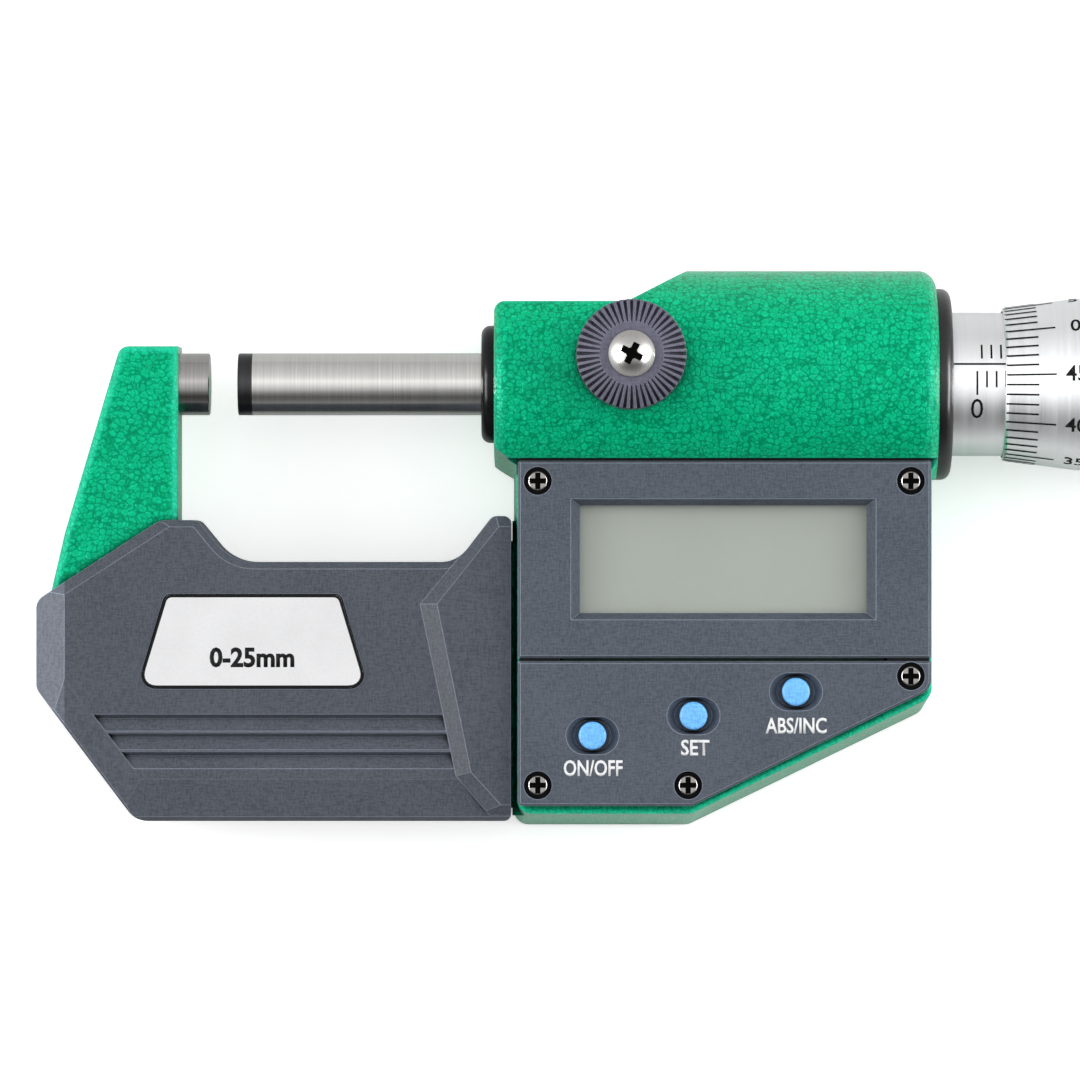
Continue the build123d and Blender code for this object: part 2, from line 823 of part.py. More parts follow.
# Screws of the guards, put in from the back
with BuildPart() as guard_screws:
    with BuildSketch(Plane.XY.offset(-bow_half)):
        with Locations(*guard_screw_places):
            Circle(guard_screw_head_diameter / 2)
    extrude(amount=-guard_screw_head_height)
    with BuildSketch(Plane.XY.offset(-bow_half - guard_screw_head_height)):
        with Locations(*guard_screw_places):
            Rectangle(guard_screw_head_diameter * cross_share, guard_cross_width)
            Rectangle(guard_cross_width, guard_screw_head_diameter * cross_share)
    extrude(amount=guard_screw_head_height / 2, mode=Mode.SUBTRACT)
    with BuildSketch(Plane.XY.offset(-bow_half)):
        with Locations(*guard_screw_places):
            Circle(boss_hole_diameter / 2 - seat_clearance)
    extrude(amount=guard_screw_length)
guard_screws.part.label = "guard_screws"
export_step(guard_screws.part, "parts/guard_screws.step")

# Plate on the front guard
with BuildPart() as label_plate:
    with BuildSketch(Plane.XY.offset(guard_face_z - plate_recess)):
        with BuildLine():
            FilletPolyline(
                (plate_top_left_x, plate_top_y),
                (plate_bottom_left_x, plate_bottom_y),
                (plate_bottom_right_x, plate_bottom_y),
                (plate_top_right_x, plate_top_y),
                radius=[plate_top_radius, plate_bottom_radius, plate_bottom_radius, plate_top_radius],
                close=True,
            )
        make_face()
    extrude(amount=plate_recess + plate_stand)
label_plate.part.label = "label_plate"
export_step(label_plate.part, "parts/label_plate.step")

# Outline of the two panels together, inside the box's front edge
with BuildSketch() as panel_outline:
    with BuildLine():
        FilletPolyline(
            (case_left_x + panel_side_margin, panel_top_y),
            (case_left_x + panel_side_margin, case_bottom_y + panel_lower_margin),
            (case_slant_x + panel_side_margin, case_bottom_y + panel_lower_margin),
            (case_right_x - panel_side_margin, case_slant_y + panel_lower_margin),
            (case_right_x - panel_side_margin, panel_top_y),
            radius=panel_radii,
            close=True,
        )
    make_face()

# Gasket between the box and its panels
with BuildPart() as panel_gasket:
    with BuildSketch(Plane.XY.offset(case_front_z)):
        add(panel_outline.sketch)
        offset(amount=-gasket_inset)
        # Strip that shows between the bezel and the barrel
        with Locations(((case_left_x + case_right_x) / 2, panel_top_y + panel_top_gap - gasket_edge_gap)):
            Rectangle(
                case_right_x - case_left_x - 2 * (panel_side_margin + gasket_inset),
                screw_recess_diameter / 2,
                align=(Align.CENTER, Align.MAX),
            )
        add(cavity_outline.sketch, mode=Mode.SUBTRACT)
        with Locations(*panel_screw_places):
            Circle(screw_shank_diameter / 2 + guard_clearance, mode=Mode.SUBTRACT)
    extrude(amount=gasket_thickness)
panel_gasket.part.label = "panel_gasket"
export_step(panel_gasket.part, "parts/panel_gasket.step")

panel_span_x = (case_left_x + case_right_x) / 2
panel_reach = case_right_x - case_left_x + 2 * cut_margin

# Display bezel with its bevelled window opening
with BuildPart() as display_bezel:
    with BuildSketch(Plane.XY.offset(panel_back_z)):
        add(panel_outline.sketch)
        with Locations((panel_span_x, panel_split_y + panel_split_gap / 2)):
            Rectangle(panel_reach, -case_bottom_y, align=(Align.CENTER, Align.MAX), mode=Mode.SUBTRACT)
    extrude(amount=panel_thickness)
    chamfer(display_bezel.faces().sort_by(Axis.Z)[-1].edges(), length=panel_edge)
    with BuildSketch(Plane.XY.offset(panel_back_z)):
        with Locations((display_x, display_y)):
            Rectangle(opening_width, opening_height)
    extrude(amount=opening_lip, mode=Mode.SUBTRACT)
    with BuildSketch(Plane.XY.offset(panel_back_z + opening_lip)):
        with Locations((display_x, display_y)):
            Rectangle(opening_width, opening_height)
    with BuildSketch(Plane.XY.offset(panel_front_z)):
        with Locations((display_x, display_y)):
            Rectangle(opening_width + 2 * opening_bevel_x, opening_height + 2 * opening_bevel_y)
    loft(ruled=True, mode=Mode.SUBTRACT)
    with Locations(*[(x, y, panel_front_z) for x, y in panel_screw_places[:2]]):
        CounterBoreHole(
            radius=screw_shank_diameter / 2 + guard_clearance,
            counter_bore_radius=screw_recess_diameter / 2,
            counter_bore_depth=screw_recess_depth,
            depth=panel_thickness,
        )
display_bezel.part.label = "display_bezel"
export_step(display_bezel.part, "parts/display_bezel.step")

# Keypad panel with a dished recess round each button
with BuildPart() as keypad_panel:
    with BuildSketch(Plane.XY.offset(panel_back_z)):
        add(panel_outline.sketch)
        with Locations((panel_span_x, panel_split_y - panel_split_gap / 2)):
            Rectangle(panel_reach, -case_bottom_y, align=(Align.CENTER, Align.MIN), mode=Mode.SUBTRACT)
    extrude(amount=panel_thickness)
    chamfer(keypad_panel.faces().sort_by(Axis.Z)[-1].edges(), length=panel_edge)
    for button_place in button_places.values():
        with BuildSketch(Plane.XY.offset(panel_front_z)):
            with Locations(button_place):
                SlotOverall(recess_length, recess_width)
        with BuildSketch(Plane.XY.offset(panel_front_z - recess_depth)):
            with Locations(button_place):
                SlotOverall(recess_floor_length, recess_floor_width)
        loft(ruled=True, mode=Mode.SUBTRACT)
    with BuildSketch(Plane.XY.offset(panel_back_z)):
        with Locations(*button_places.values()):
            Circle(button_diameter / 2 + button_clearance)
    extrude(amount=panel_thickness, mode=Mode.SUBTRACT)
    with Locations(*[(x, y, panel_front_z) for x, y in panel_screw_places[2:]]):
        CounterBoreHole(
            radius=screw_shank_diameter / 2 + guard_clearance,
            counter_bore_radius=screw_recess_diameter / 2,
            counter_bore_depth=screw_recess_depth,
            depth=panel_thickness,
        )
keypad_panel.part.label = "keypad_panel"
export_step(keypad_panel.part, "parts/keypad_panel.step")

# Panel screws with cross recesses
with BuildPart() as panel_screws:
    with BuildSketch(Plane.XY.offset(screw_end_z)):
        with Locations(*panel_screw_places):
            Circle(screw_shank_diameter / 2)
    extrude(amount=screw_length)
    with BuildSketch(Plane.XY.offset(screw_seat_z)):
        with Locations(*panel_screw_places):
            Circle(screw_head_diameter / 2)
    extrude(amount=screw_head_height)
    head_rims = panel_screws.edges().filter_by_position(
        Axis.Z, screw_top_z - select_margin, screw_top_z + select_margin
    )
    fillet(head_rims, radius=screw_head_rounding)
    with BuildSketch(Plane.XY.offset(screw_top_z)):
        with Locations(*panel_screw_places):
            Rectangle(screw_head_diameter * cross_share, cross_width)
            Rectangle(cross_width, screw_head_diameter * cross_share)
    extrude(amount=-cross_depth, mode=Mode.SUBTRACT)
panel_screws.part.label = "panel_screws"
export_step(panel_screws.part, "parts/panel_screws.step")

# Black sealing washers under the screws' heads
with BuildPart() as screw_washers:
    with BuildSketch(Plane.XY.offset(washer_seat_z)):
        with Locations(*panel_screw_places):
            Circle(screw_recess_diameter / 2 - seat_clearance)
            Circle(screw_shank_diameter / 2 + seat_clearance, mode=Mode.SUBTRACT)
    extrude(amount=washer_thickness)
screw_washers.part.label = "screw_washers"
export_step(screw_washers.part, "parts/screw_washers.step")

# Clear window behind the bezel, resting on the display module
module_top_z = board_top_z + module_height
with BuildPart() as display_window:
    with BuildSketch(Plane.XY.offset(module_top_z)):
        with Locations((display_x, display_y)):
            Rectangle(opening_width + 2 * window_lap, opening_height + 2 * window_lap)
    extrude(amount=panel_back_z - module_top_z)
display_window.part.label = "display_window"
export_step(display_window.part, "parts/display_window.step")

with BuildPart() as display_module:
    with BuildSketch(Plane.XY.offset(board_top_z)):
        with Locations((display_x, display_y)):
            Rectangle(opening_width + window_lap, opening_height + window_lap)
    extrude(amount=module_height)
display_module.part.label = "display_module"
export_step(display_module.part, "parts/display_module.step")

# Circuit board on its ledge, with two chips on its back
with BuildPart() as circuit_board:
    with BuildSketch(Plane.XY.offset(board_seat_z)):
        add(cavity_outline.sketch)
        offset(amount=-board_clearance)
    extrude(amount=board_thickness)
    with BuildSketch(Plane.XY.offset(board_seat_z)):
        with Locations((chip_x, large_chip_y)):
            Rectangle(large_chip_width, large_chip_width)
        with Locations((chip_x, small_chip_y)):
            Rectangle(small_chip_width, small_chip_width)
    extrude(amount=-chip_height)
circuit_board.part.label = "circuit_board"
export_step(circuit_board.part, "parts/circuit_board.step")

# Switches under the buttons
with BuildPart() as key_switches:
    with BuildSketch(Plane.XY.offset(board_top_z)):
        with Locations(*button_places.values()):
            Rectangle(switch_width, switch_width)
    extrude(amount=switch_body_height)
    with BuildSketch(Plane.XY.offset(board_top_z + switch_body_height)):
        with Locations(*button_places.values()):
            Circle(switch_plunger_diameter / 2)
    extrude(amount=switch_plunger_height)
key_switches.part.label = "key_switches"
export_step(key_switches.part, "parts/key_switches.step")

# Push buttons: domed cap above the panel, flange held under it
button_top_z = panel_front_z + button_stand
flange_top_z = panel_back_z - button_flange_gap
for button_name, (button_x, button_y) in button_places.items():
    with BuildPart() as button:
        with BuildSketch(Plane.XY.offset(flange_top_z - button_flange_thickness)):
            with Locations((button_x, button_y)):
                Circle(button_flange_diameter / 2)
        extrude(amount=button_flange_thickness)
        with BuildSketch(Plane.XY.offset(flange_top_z)):
            with Locations((button_x, button_y)):
                Circle(button_diameter / 2)
        extrude(amount=button_top_z - flange_top_z)
        cap_rim = button.faces().sort_by(Axis.Z)[-1].edges()
        fillet(cap_rim, radius=button_rounding)
    button.part.label = "button_" + button_name
    export_step(button.part, "parts/button_" + button_name + ".step")

# Front seal ring with a spigot in the barrel
with BuildPart() as spindle_seal:
    with BuildSketch():
        with BuildLine():
            Polyline(
                (barrel_front_x - seal_length, spindle_radius + seal_lip_clearance),
                (barrel_front_x - seal_length, seal_diameter / 2),
                (barrel_front_x, seal_diameter / 2),
                (barrel_front_x, seal_spigot_diameter / 2),
                (barrel_front_x + seal_spigot_length, seal_spigot_diameter / 2),
                (barrel_front_x + seal_spigot_length, spindle_radius + seal_lip_clearance),
                close=True,
            )
        make_face()
    revolve(axis=Axis.X)
    outer_edge = spindle_seal.faces().sort_by(Axis.X)[0].edges().sort_by(SortBy.RADIUS)[-1]
    fillet(outer_edge, radius=seal_rounding)
spindle_seal.part.label = "spindle_seal"
export_step(spindle_seal.part, "parts/spindle_seal.step")

# Encoder: fixed disc, rotor turned by the spindle's key groove, holder ring and clip
rotor_front_x = chamber_front_x + stator_thickness + encoder_air_gap
rotor_disc_rear_x = rotor_front_x + rotor_disc_thickness
holder_front_x = rotor_disc_rear_x + rotor_end_play
holder_rear_x = holder_front_x + holder_length
rotor_rear_x = rotor_disc_rear_x + rotor_hub_length
clip_front_x = holder_rear_x + rotor_end_play
keyway_floor = spindle_radius - key_depth

with BuildPart() as encoder_stator:
    with BuildSketch(Plane.YZ.offset(chamber_front_x)):
        Circle(chamber_diameter / 2 - seat_clearance)
        Circle(stator_bore / 2, mode=Mode.SUBTRACT)
    extrude(amount=stator_thickness)
encoder_stator.part.label = "encoder_stator"
export_step(encoder_stator.part, "parts/encoder_stator.step")

with BuildPart() as encoder_rotor:
    with BuildSketch(Plane.YZ.offset(rotor_front_x)):
        Circle(rotor_diameter / 2)
    extrude(amount=rotor_disc_thickness)
    with BuildSketch(Plane.YZ.offset(rotor_disc_rear_x)):
        Circle(rotor_hub_diameter / 2)
    extrude(amount=rotor_hub_length)
    with BuildSketch(Plane.YZ.offset(rotor_front_x)):
        Circle(spindle_radius + rotor_bore_clearance)
        with Locations((0, keyway_floor + key_clearance)):
            Rectangle(
                key_width - 2 * key_clearance,
                spindle_radius,
                align=(Align.CENTER, Align.MIN),
                mode=Mode.SUBTRACT,
            )
    extrude(amount=rotor_disc_thickness + rotor_hub_length, mode=Mode.SUBTRACT)
encoder_rotor.part.label = "encoder_rotor"
export_step(encoder_rotor.part, "parts/encoder_rotor.step")

with BuildPart() as rotor_clip:
    with BuildSketch(Plane.YZ.offset(clip_front_x)):
        Circle(clip_diameter / 2)
        Circle(rotor_hub_diameter / 2 + seat_clearance, mode=Mode.SUBTRACT)
    extrude(amount=clip_thickness)
rotor_clip.part.label = "rotor_clip"
export_step(rotor_clip.part, "parts/rotor_clip.step")

with BuildPart() as rotor_holder:
    with BuildSketch(Plane.YZ.offset(holder_front_x)):
        Circle(chamber_diameter / 2 - seat_clearance)
        Circle(rotor_hub_diameter / 2 + holder_clearance, mode=Mode.SUBTRACT)
    extrude(amount=holder_length)
rotor_holder.part.label = "rotor_holder"
export_step(rotor_holder.part, "parts/rotor_holder.step")

# Collar ring between the barrel and the scale sleeve
with BuildPart() as sleeve_collar:
    with BuildSketch(Plane.YZ.offset(barrel_rear_x)):
        Circle(collar_diameter / 2)
        Circle(inner_sleeve_diameter / 2 + seat_clearance, mode=Mode.SUBTRACT)
    extrude(amount=collar_length)
    outer_edge = sleeve_collar.faces().sort_by(Axis.X)[-1].edges().sort_by(SortBy.RADIUS)[-1]
    fillet(outer_edge, radius=collar_rounding)
sleeve_collar.part.label = "sleeve_collar"
export_step(sleeve_collar.part, "parts/sleeve_collar.step")

# Inner sleeve: flange in the barrel, tube under the scale, slotted thread end
flange_front_x = barrel_rear_x - nut_flange_length
thread_front_x = collet_rear_x - thread_length
thread_bore = thread_diameter / 2 + thread_clearance
with BuildPart() as spindle_nut:
    with BuildSketch():
        with BuildLine():
            Polyline(
                (flange_front_x, inner_sleeve_bore / 2),
                (flange_front_x, chamber_diameter / 2 - seat_clearance),
                (barrel_rear_x, chamber_diameter / 2 - seat_clearance),
                (barrel_rear_x, inner_sleeve_diameter / 2),
                (sleeve_rear_x, inner_sleeve_diameter / 2),
                (sleeve_rear_x, collet_diameter / 2),
                (collet_rear_x, collet_diameter / 2),
                (collet_rear_x, thread_bore),
                (thread_front_x, thread_bore),
                (thread_front_x, inner_sleeve_bore / 2),
                close=True,
            )
        make_face()
    revolve(axis=Axis.X)
    with BuildSketch(Plane.YZ.offset(collet_rear_x)):
        with PolarLocations(0, collet_slots):
            Rectangle(collet_diameter, collet_slot, align=(Align.MIN, Align.CENTER))
    extrude(amount=-collet_slot_depth, mode=Mode.SUBTRACT)
spindle_nut.part.label = "spindle_nut"
export_step(spindle_nut.part, "parts/spindle_nut.step")

with BuildPart() as adjusting_nut:
    with BuildSketch(Plane.YZ.offset(sleeve_rear_x + adjusting_nut_gap)):
        Circle(adjusting_nut_diameter / 2)
        Circle(collet_diameter / 2 + seat_clearance, mode=Mode.SUBTRACT)
        with PolarLocations(adjusting_nut_diameter / 2, adjusting_nut_flats):
            Rectangle(adjusting_nut_flat, 2 * adjusting_nut_flat, mode=Mode.SUBTRACT)
    extrude(amount=adjusting_nut_length)
adjusting_nut.part.label = "adjusting_nut"
export_step(adjusting_nut.part, "parts/adjusting_nut.step")

with BuildPart() as sleeve:
    with BuildSketch(Plane.YZ.offset(collar_rear_x)):
        Circle(sleeve_diameter / 2)
        Circle(inner_sleeve_diameter / 2 + seat_clearance, mode=Mode.SUBTRACT)
    extrude(amount=sleeve_rear_x - collar_rear_x)
sleeve.part.label = "sleeve"
export_step(sleeve.part, "parts/sleeve.step")

# Spindle: ground front, key groove, fine screw, shoulder and seat for the thimble
spindle_rear_x = hub_rear_x - spindle_end_inset
screw_front_x = thread_front_x - measuring_range + reading - thread_run_out
shoulder_front_x = thimble_floor_x - shoulder_thickness
with BuildPart() as spindle:
    with BuildSketch():
        with BuildLine():
            Polyline(
                (reading + tip_length, 0),
                (reading + tip_length, spindle_radius),
                (screw_front_x, spindle_radius),
                (screw_front_x, thread_diameter / 2),
                (shoulder_front_x, thread_diameter / 2),
                (shoulder_front_x, shoulder_diameter / 2),
                (thimble_floor_x, shoulder_diameter / 2),
                (thimble_floor_x, hub_bore / 2 - seat_clearance),
                (spindle_rear_x, hub_bore / 2 - seat_clearance),
                (spindle_rear_x, 0),
                close=True,
            )
        make_face()
    revolve(axis=Axis.X)
    with BuildSketch(Plane.YZ.offset(spindle_rear_x)):
        Circle(stop_screw_thread / 2 + seat_clearance)
    extrude(amount=-stop_screw_engagement - stop_hole_margin, mode=Mode.SUBTRACT)
    with BuildSketch(Plane.YZ.offset(rotor_front_x - measuring_range + reading - keyway_margin)):
        with Locations((0, keyway_floor)):
            Rectangle(key_width, spindle_radius, align=(Align.CENTER, Align.MIN))
    extrude(amount=measuring_range + rotor_rear_x - rotor_front_x + 2 * keyway_margin, mode=Mode.SUBTRACT)
spindle.part.label = "spindle"
export_step(spindle.part, "parts/spindle.step")

# Carbide disc brazed on the spindle's end
with BuildPart() as spindle_tip:
    with BuildSketch():
        with BuildLine():
            Polyline(
                (reading, 0),
                (reading, spindle_radius - face_bevel),
                (reading + face_bevel, spindle_radius),
                (reading + tip_length, spindle_radius),
                (reading + tip_length, 0),
                close=True,
            )
        make_face()
    revolve(axis=Axis.X)
spindle_tip.part.label = "spindle_tip"
export_step(spindle_tip.part, "parts/spindle_tip.step")

# Thimble: graduated cone, fluted grip, hub on the spindle and a skirt round the ratchet
nose_radius = thimble_nose_diameter / 2
grip_radius = thimble_diameter / 2
thimble_bore = sleeve_diameter / 2 + thimble_clearance
with BuildPart() as thimble:
    with BuildSketch():
        with BuildLine():
            Polyline(
                (thimble_front_x, thimble_bore),
                (thimble_front_x, nose_radius - thimble_nose_chamfer),
                (thimble_front_x + thimble_nose_chamfer, nose_radius),
                (thimble_front_x + thimble_cone_length, grip_radius),
                (thimble_rear_x, grip_radius),
                (thimble_rear_x, grip_radius - thimble_skirt_wall),
                (hub_rear_x, grip_radius - thimble_skirt_wall),
                (hub_rear_x, hub_bore / 2),
                (thimble_floor_x, hub_bore / 2),
                (thimble_floor_x, thimble_bore),
                close=True,
            )
        make_face()
    revolve(axis=Axis.X)
    rear_edge = thimble.faces().sort_by(Axis.X)[-1].edges().sort_by(SortBy.RADIUS)[-1]
    fillet(rear_edge, radius=thimble_end_rounding)
    with BuildSketch(Plane.YZ.offset(thimble_rear_x - grip_end_margin)):
        with PolarLocations(grip_radius, grip_flutes):
            Rectangle(math.sqrt(2) * grip_flute_depth, math.sqrt(2) * grip_flute_depth, rotation=45)
    extrude(amount=-grip_length, mode=Mode.SUBTRACT)
thimble.part.label = "thimble"
export_step(thimble.part, "parts/thimble.step")

# Ratchet stop behind the thimble
crown_front_x = hub_rear_x + stop_collar_length
crown_valley_x = crown_front_x + crown_body
crown_tip_x = crown_valley_x + crown_tooth
knob_tip_x = crown_tip_x + crown_gap
knob_valley_x = knob_tip_x + crown_tooth
knob_front_x = thimble_rear_x + stop_knob_gap
spring_front_x = knob_valley_x + stop_knob_web
knob_rear_x = spring_front_x + stop_knob_cavity_length
head_front_x = knob_rear_x - stop_head_inset - stop_head_height
tooth_angle = math.radians(360 / crown_teeth / 2)
tooth_cos = math.cos(tooth_angle)
tooth_sin = math.sin(tooth_angle)

with BuildPart() as ratchet_screw:
    with BuildSketch():
        with BuildLine():
            Polyline(
                (hub_rear_x - stop_screw_engagement, 0),
                (hub_rear_x - stop_screw_engagement, stop_screw_thread / 2),
                (hub_rear_x, stop_screw_thread / 2),
                (hub_rear_x, stop_collar_diameter / 2),
                (crown_front_x, stop_collar_diameter / 2),
                (crown_front_x, stop_stem_diameter / 2),
                (head_front_x, stop_stem_diameter / 2),
                (head_front_x, stop_head_diameter / 2),
                (head_front_x + stop_head_height, stop_head_diameter / 2),
                (head_front_x + stop_head_height, 0),
                close=True,
            )
        make_face()
    revolve(axis=Axis.X)
    with BuildSketch(Plane.YZ.offset(head_front_x + stop_head_height)):
        Rectangle(stop_head_diameter + cut_margin, stop_slot_width)
    extrude(amount=-stop_slot_depth, mode=Mode.SUBTRACT)
ratchet_screw.part.label = "ratchet_screw"
export_step(ratchet_screw.part, "parts/ratchet_screw.step")

tooth_outer_radius = crown_diameter / 2 - tooth_margin
with BuildPart() as ratchet_crown:
    with BuildSketch(Plane.YZ.offset(crown_front_x)):
        Circle(crown_diameter / 2)
        Circle(stop_stem_diameter / 2 + seat_clearance, mode=Mode.SUBTRACT)
    extrude(amount=crown_body)
    with BuildSketch(Plane.YZ.offset(crown_valley_x)):
        with PolarLocations(0, crown_teeth):
            Polygon(
                (tooth_inner_radius, 0),
                (tooth_outer_radius, 0),
                (tooth_outer_radius * tooth_cos, tooth_outer_radius * tooth_sin),
                (tooth_inner_radius * tooth_cos, tooth_inner_radius * tooth_sin),
                align=None,
            )
    extrude(amount=crown_tooth)
ratchet_crown.part.label = "ratchet_crown"
export_step(ratchet_crown.part, "parts/ratchet_crown.step")

with BuildPart() as ratchet_knob:
    with BuildSketch():
        with BuildLine():
            Polyline(
                (knob_front_x, stop_knob_recess_diameter / 2),
                (knob_front_x, stop_knob_diameter / 2 - stop_knob_front_chamfer),
                (knob_front_x + stop_knob_front_chamfer, stop_knob_diameter / 2),
                (knob_rear_x - stop_knob_rear_chamfer, stop_knob_diameter / 2),
                (knob_rear_x, stop_knob_diameter / 2 - stop_knob_rear_chamfer),
                (knob_rear_x, stop_knob_cavity_diameter / 2),
                (spring_front_x, stop_knob_cavity_diameter / 2),
                (spring_front_x, stop_stem_diameter / 2 + stop_knob_clearance),
                (knob_valley_x, stop_stem_diameter / 2 + stop_knob_clearance),
                (knob_valley_x, stop_knob_recess_diameter / 2),
                close=True,
            )
        make_face()
    revolve(axis=Axis.X)
    with BuildSketch(Plane.YZ.offset(knob_tip_x)):
        with PolarLocations(0, crown_teeth):
            Polygon(
                (tooth_inner_radius, 0),
                (crown_diameter / 2, 0),
                (crown_diameter / 2 * tooth_cos, crown_diameter / 2 * tooth_sin),
                (tooth_inner_radius * tooth_cos, tooth_inner_radius * tooth_sin),
                align=None,
            )
    extrude(amount=crown_tooth)
    with BuildSketch(Plane.YZ.offset(knob_front_x + stop_knob_overhang)):
        with PolarLocations(stop_knob_diameter / 2, stop_knob_flutes):
            Rectangle(math.sqrt(2) * stop_knob_flute_depth, math.sqrt(2) * stop_knob_flute_depth, rotation=45)
    extrude(amount=knob_rear_x - knob_front_x, mode=Mode.SUBTRACT)
ratchet_knob.part.label = "ratchet_knob"
export_step(ratchet_knob.part, "parts/ratchet_knob.step")

# Spring of the ratchet, between the knob's web and the screw's head
spring_length = head_front_x - spring_front_x - 2 * stop_spring_clearance - stop_spring_wire
spring_start_x = spring_front_x + stop_spring_clearance + stop_spring_wire / 2
with BuildPart() as ratchet_spring:
    with BuildLine():
        spring_path = Helix(
            pitch=spring_length / stop_spring_turns,
            height=spring_length,
            radius=stop_spring_diameter / 2,
            center=(spring_start_x, 0, 0),
            direction=(1, 0, 0),
        )
    with BuildSketch(Plane(origin=spring_path @ 0, z_dir=spring_path % 0)):
        Rectangle(stop_spring_wire, stop_spring_wire)
    sweep(is_frenet=True)
ratchet_spring.part.label = "ratchet_spring"
export_step(ratchet_spring.part, "parts/ratchet_spring.step")

# Spindle lock: shaft across the barrel with an eccentric neck beside the spindle
knob_base_z = barrel_radius + lock_knob_gap
knob_top_z = knob_base_z + lock_flange_thickness + lock_knob_height
shaft_top_z = knob_base_z + lock_flange_thickness + lock_seat_length
with BuildPart() as lock_shaft:
    with BuildSketch(Plane.XY.offset(-lock_shaft_depth)):
        with Locations((lock_x, lock_y)):
            Circle(lock_shaft_diameter / 2)
    extrude(amount=knob_base_z + lock_shaft_depth)
    with BuildSketch(Plane.XY.offset(-lock_neck_length / 2)):
        with Locations((lock_x, lock_y)):
            Circle(lock_shaft_diameter / 2 + cut_margin)
        with Locations((lock_x, lock_y + lock_neck_offset)):
            Circle(lock_neck_radius, mode=Mode.SUBTRACT)
    extrude(amount=lock_neck_length, mode=Mode.SUBTRACT)
    with BuildSketch(Plane.XY.offset(knob_base_z)):
        with Locations((lock_x, lock_y)):
            Circle(lock_seat_diameter / 2)
    extrude(amount=shaft_top_z - knob_base_z)
    with BuildSketch(Plane.XY.offset(shaft_top_z)):
        with Locations((lock_x, lock_y)):
            Circle(lock_screw_shank_diameter / 2 + seat_clearance)
    extrude(amount=-lock_screw_length, mode=Mode.SUBTRACT)
lock_shaft.part.label = "lock_shaft"
export_step(lock_shaft.part, "parts/lock_shaft.step")

# Groove between two ridges on the knob's sloping face
lock_knob_radius = lock_knob_diameter / 2
ridge_half = math.pi * lock_knob_radius / lock_ridges * lock_ridge_share
groove_run = [
    (lock_knob_flat_diameter / 2, knob_top_z, face_groove_inner_depth, face_groove_inner_half),
    (lock_knob_radius, knob_top_z - lock_knob_drop, face_groove_outer_depth, face_groove_outer_half),
]
with BuildPart() as face_groove:
    for groove_x, face_z, depth, half_width in groove_run:
        top_half = half_width * (depth + face_groove_headroom) / depth
        with BuildSketch(Plane.YZ.offset(groove_x)):
            Polygon(
                (0, face_z - depth),
                (top_half, face_z + face_groove_headroom),
                (-top_half, face_z + face_groove_headroom),
                align=None,
            )
    loft(ruled=True)

# Knob whose ridges run over its crowned face and down its rim
with BuildPart() as lock_knob:
    with BuildSketch(Plane.XZ):
        with BuildLine():
            Polyline(
                (lock_seat_diameter / 2 + seat_clearance, knob_base_z),
                (lock_flange_diameter / 2, knob_base_z),
                (lock_flange_diameter / 2, knob_base_z + lock_flange_thickness),
                (lock_knob_radius, knob_base_z + lock_flange_thickness),
                (lock_knob_radius, knob_top_z - lock_knob_drop),
                (lock_knob_flat_diameter / 2, knob_top_z),
                (lock_screw_shank_diameter / 2 + seat_clearance, knob_top_z),
                (lock_screw_shank_diameter / 2 + seat_clearance, shaft_top_z),
                (lock_seat_diameter / 2 + seat_clearance, shaft_top_z),
                close=True,
            )
        make_face()
    revolve(axis=Axis.Z)
    # Grooves down the rim
    with BuildSketch(Plane.XY.offset(knob_base_z + lock_flange_thickness)):
        with PolarLocations(0, lock_ridges):
            Polygon(
                (lock_knob_radius - lock_ridge_depth, 0),
                (lock_knob_radius + face_groove_headroom, ridge_half),
                (lock_knob_radius + face_groove_headroom, -ridge_half),
                align=None,
            )
    extrude(amount=lock_knob_height + lock_flange_thickness, mode=Mode.SUBTRACT)
    # Grooves over the sloping face, deeper and wider towards the rim
    with PolarLocations(0, lock_ridges):
        add(face_groove.part, mode=Mode.SUBTRACT)
lock_knob.part = lock_knob.part.moved(Location((lock_x, lock_y, 0)))
lock_knob.part.label = "lock_knob"
export_step(lock_knob.part, "parts/lock_knob.step")

# Pan-head screw that holds the knob on its shaft
with BuildPart() as lock_knob_screw:
    with BuildSketch(Plane.XY.offset(knob_top_z)):
        with Locations((lock_x, lock_y)):
            Circle(lock_screw_head_diameter / 2)
    extrude(amount=lock_screw_head_height)
    with Locations((lock_x, lock_y, knob_top_z + lock_screw_head_height - lock_screw_dome_radius)):
        Sphere(lock_screw_dome_radius, mode=Mode.INTERSECT)
    with BuildSketch(Plane.XY.offset(knob_top_z + lock_screw_head_height)):
        with Locations((lock_x, lock_y)):
            Rectangle(lock_cross_length, lock_cross_width, rotation=lock_cross_turn)
            Rectangle(lock_cross_width, lock_cross_length, rotation=lock_cross_turn)
            Circle(lock_cross_core / 2)
    extrude(amount=-lock_cross_depth, mode=Mode.SUBTRACT)
    with BuildSketch(Plane.XY.offset(knob_top_z)):
        with Locations((lock_x, lock_y)):
            Circle(lock_screw_shank_diameter / 2)
    extrude(amount=-(knob_top_z - shaft_top_z + lock_screw_length - lock_screw_end_gap))
lock_knob_screw.part.label = "lock_knob_screw"
export_step(lock_knob_screw.part, "parts/lock_knob_screw.step")

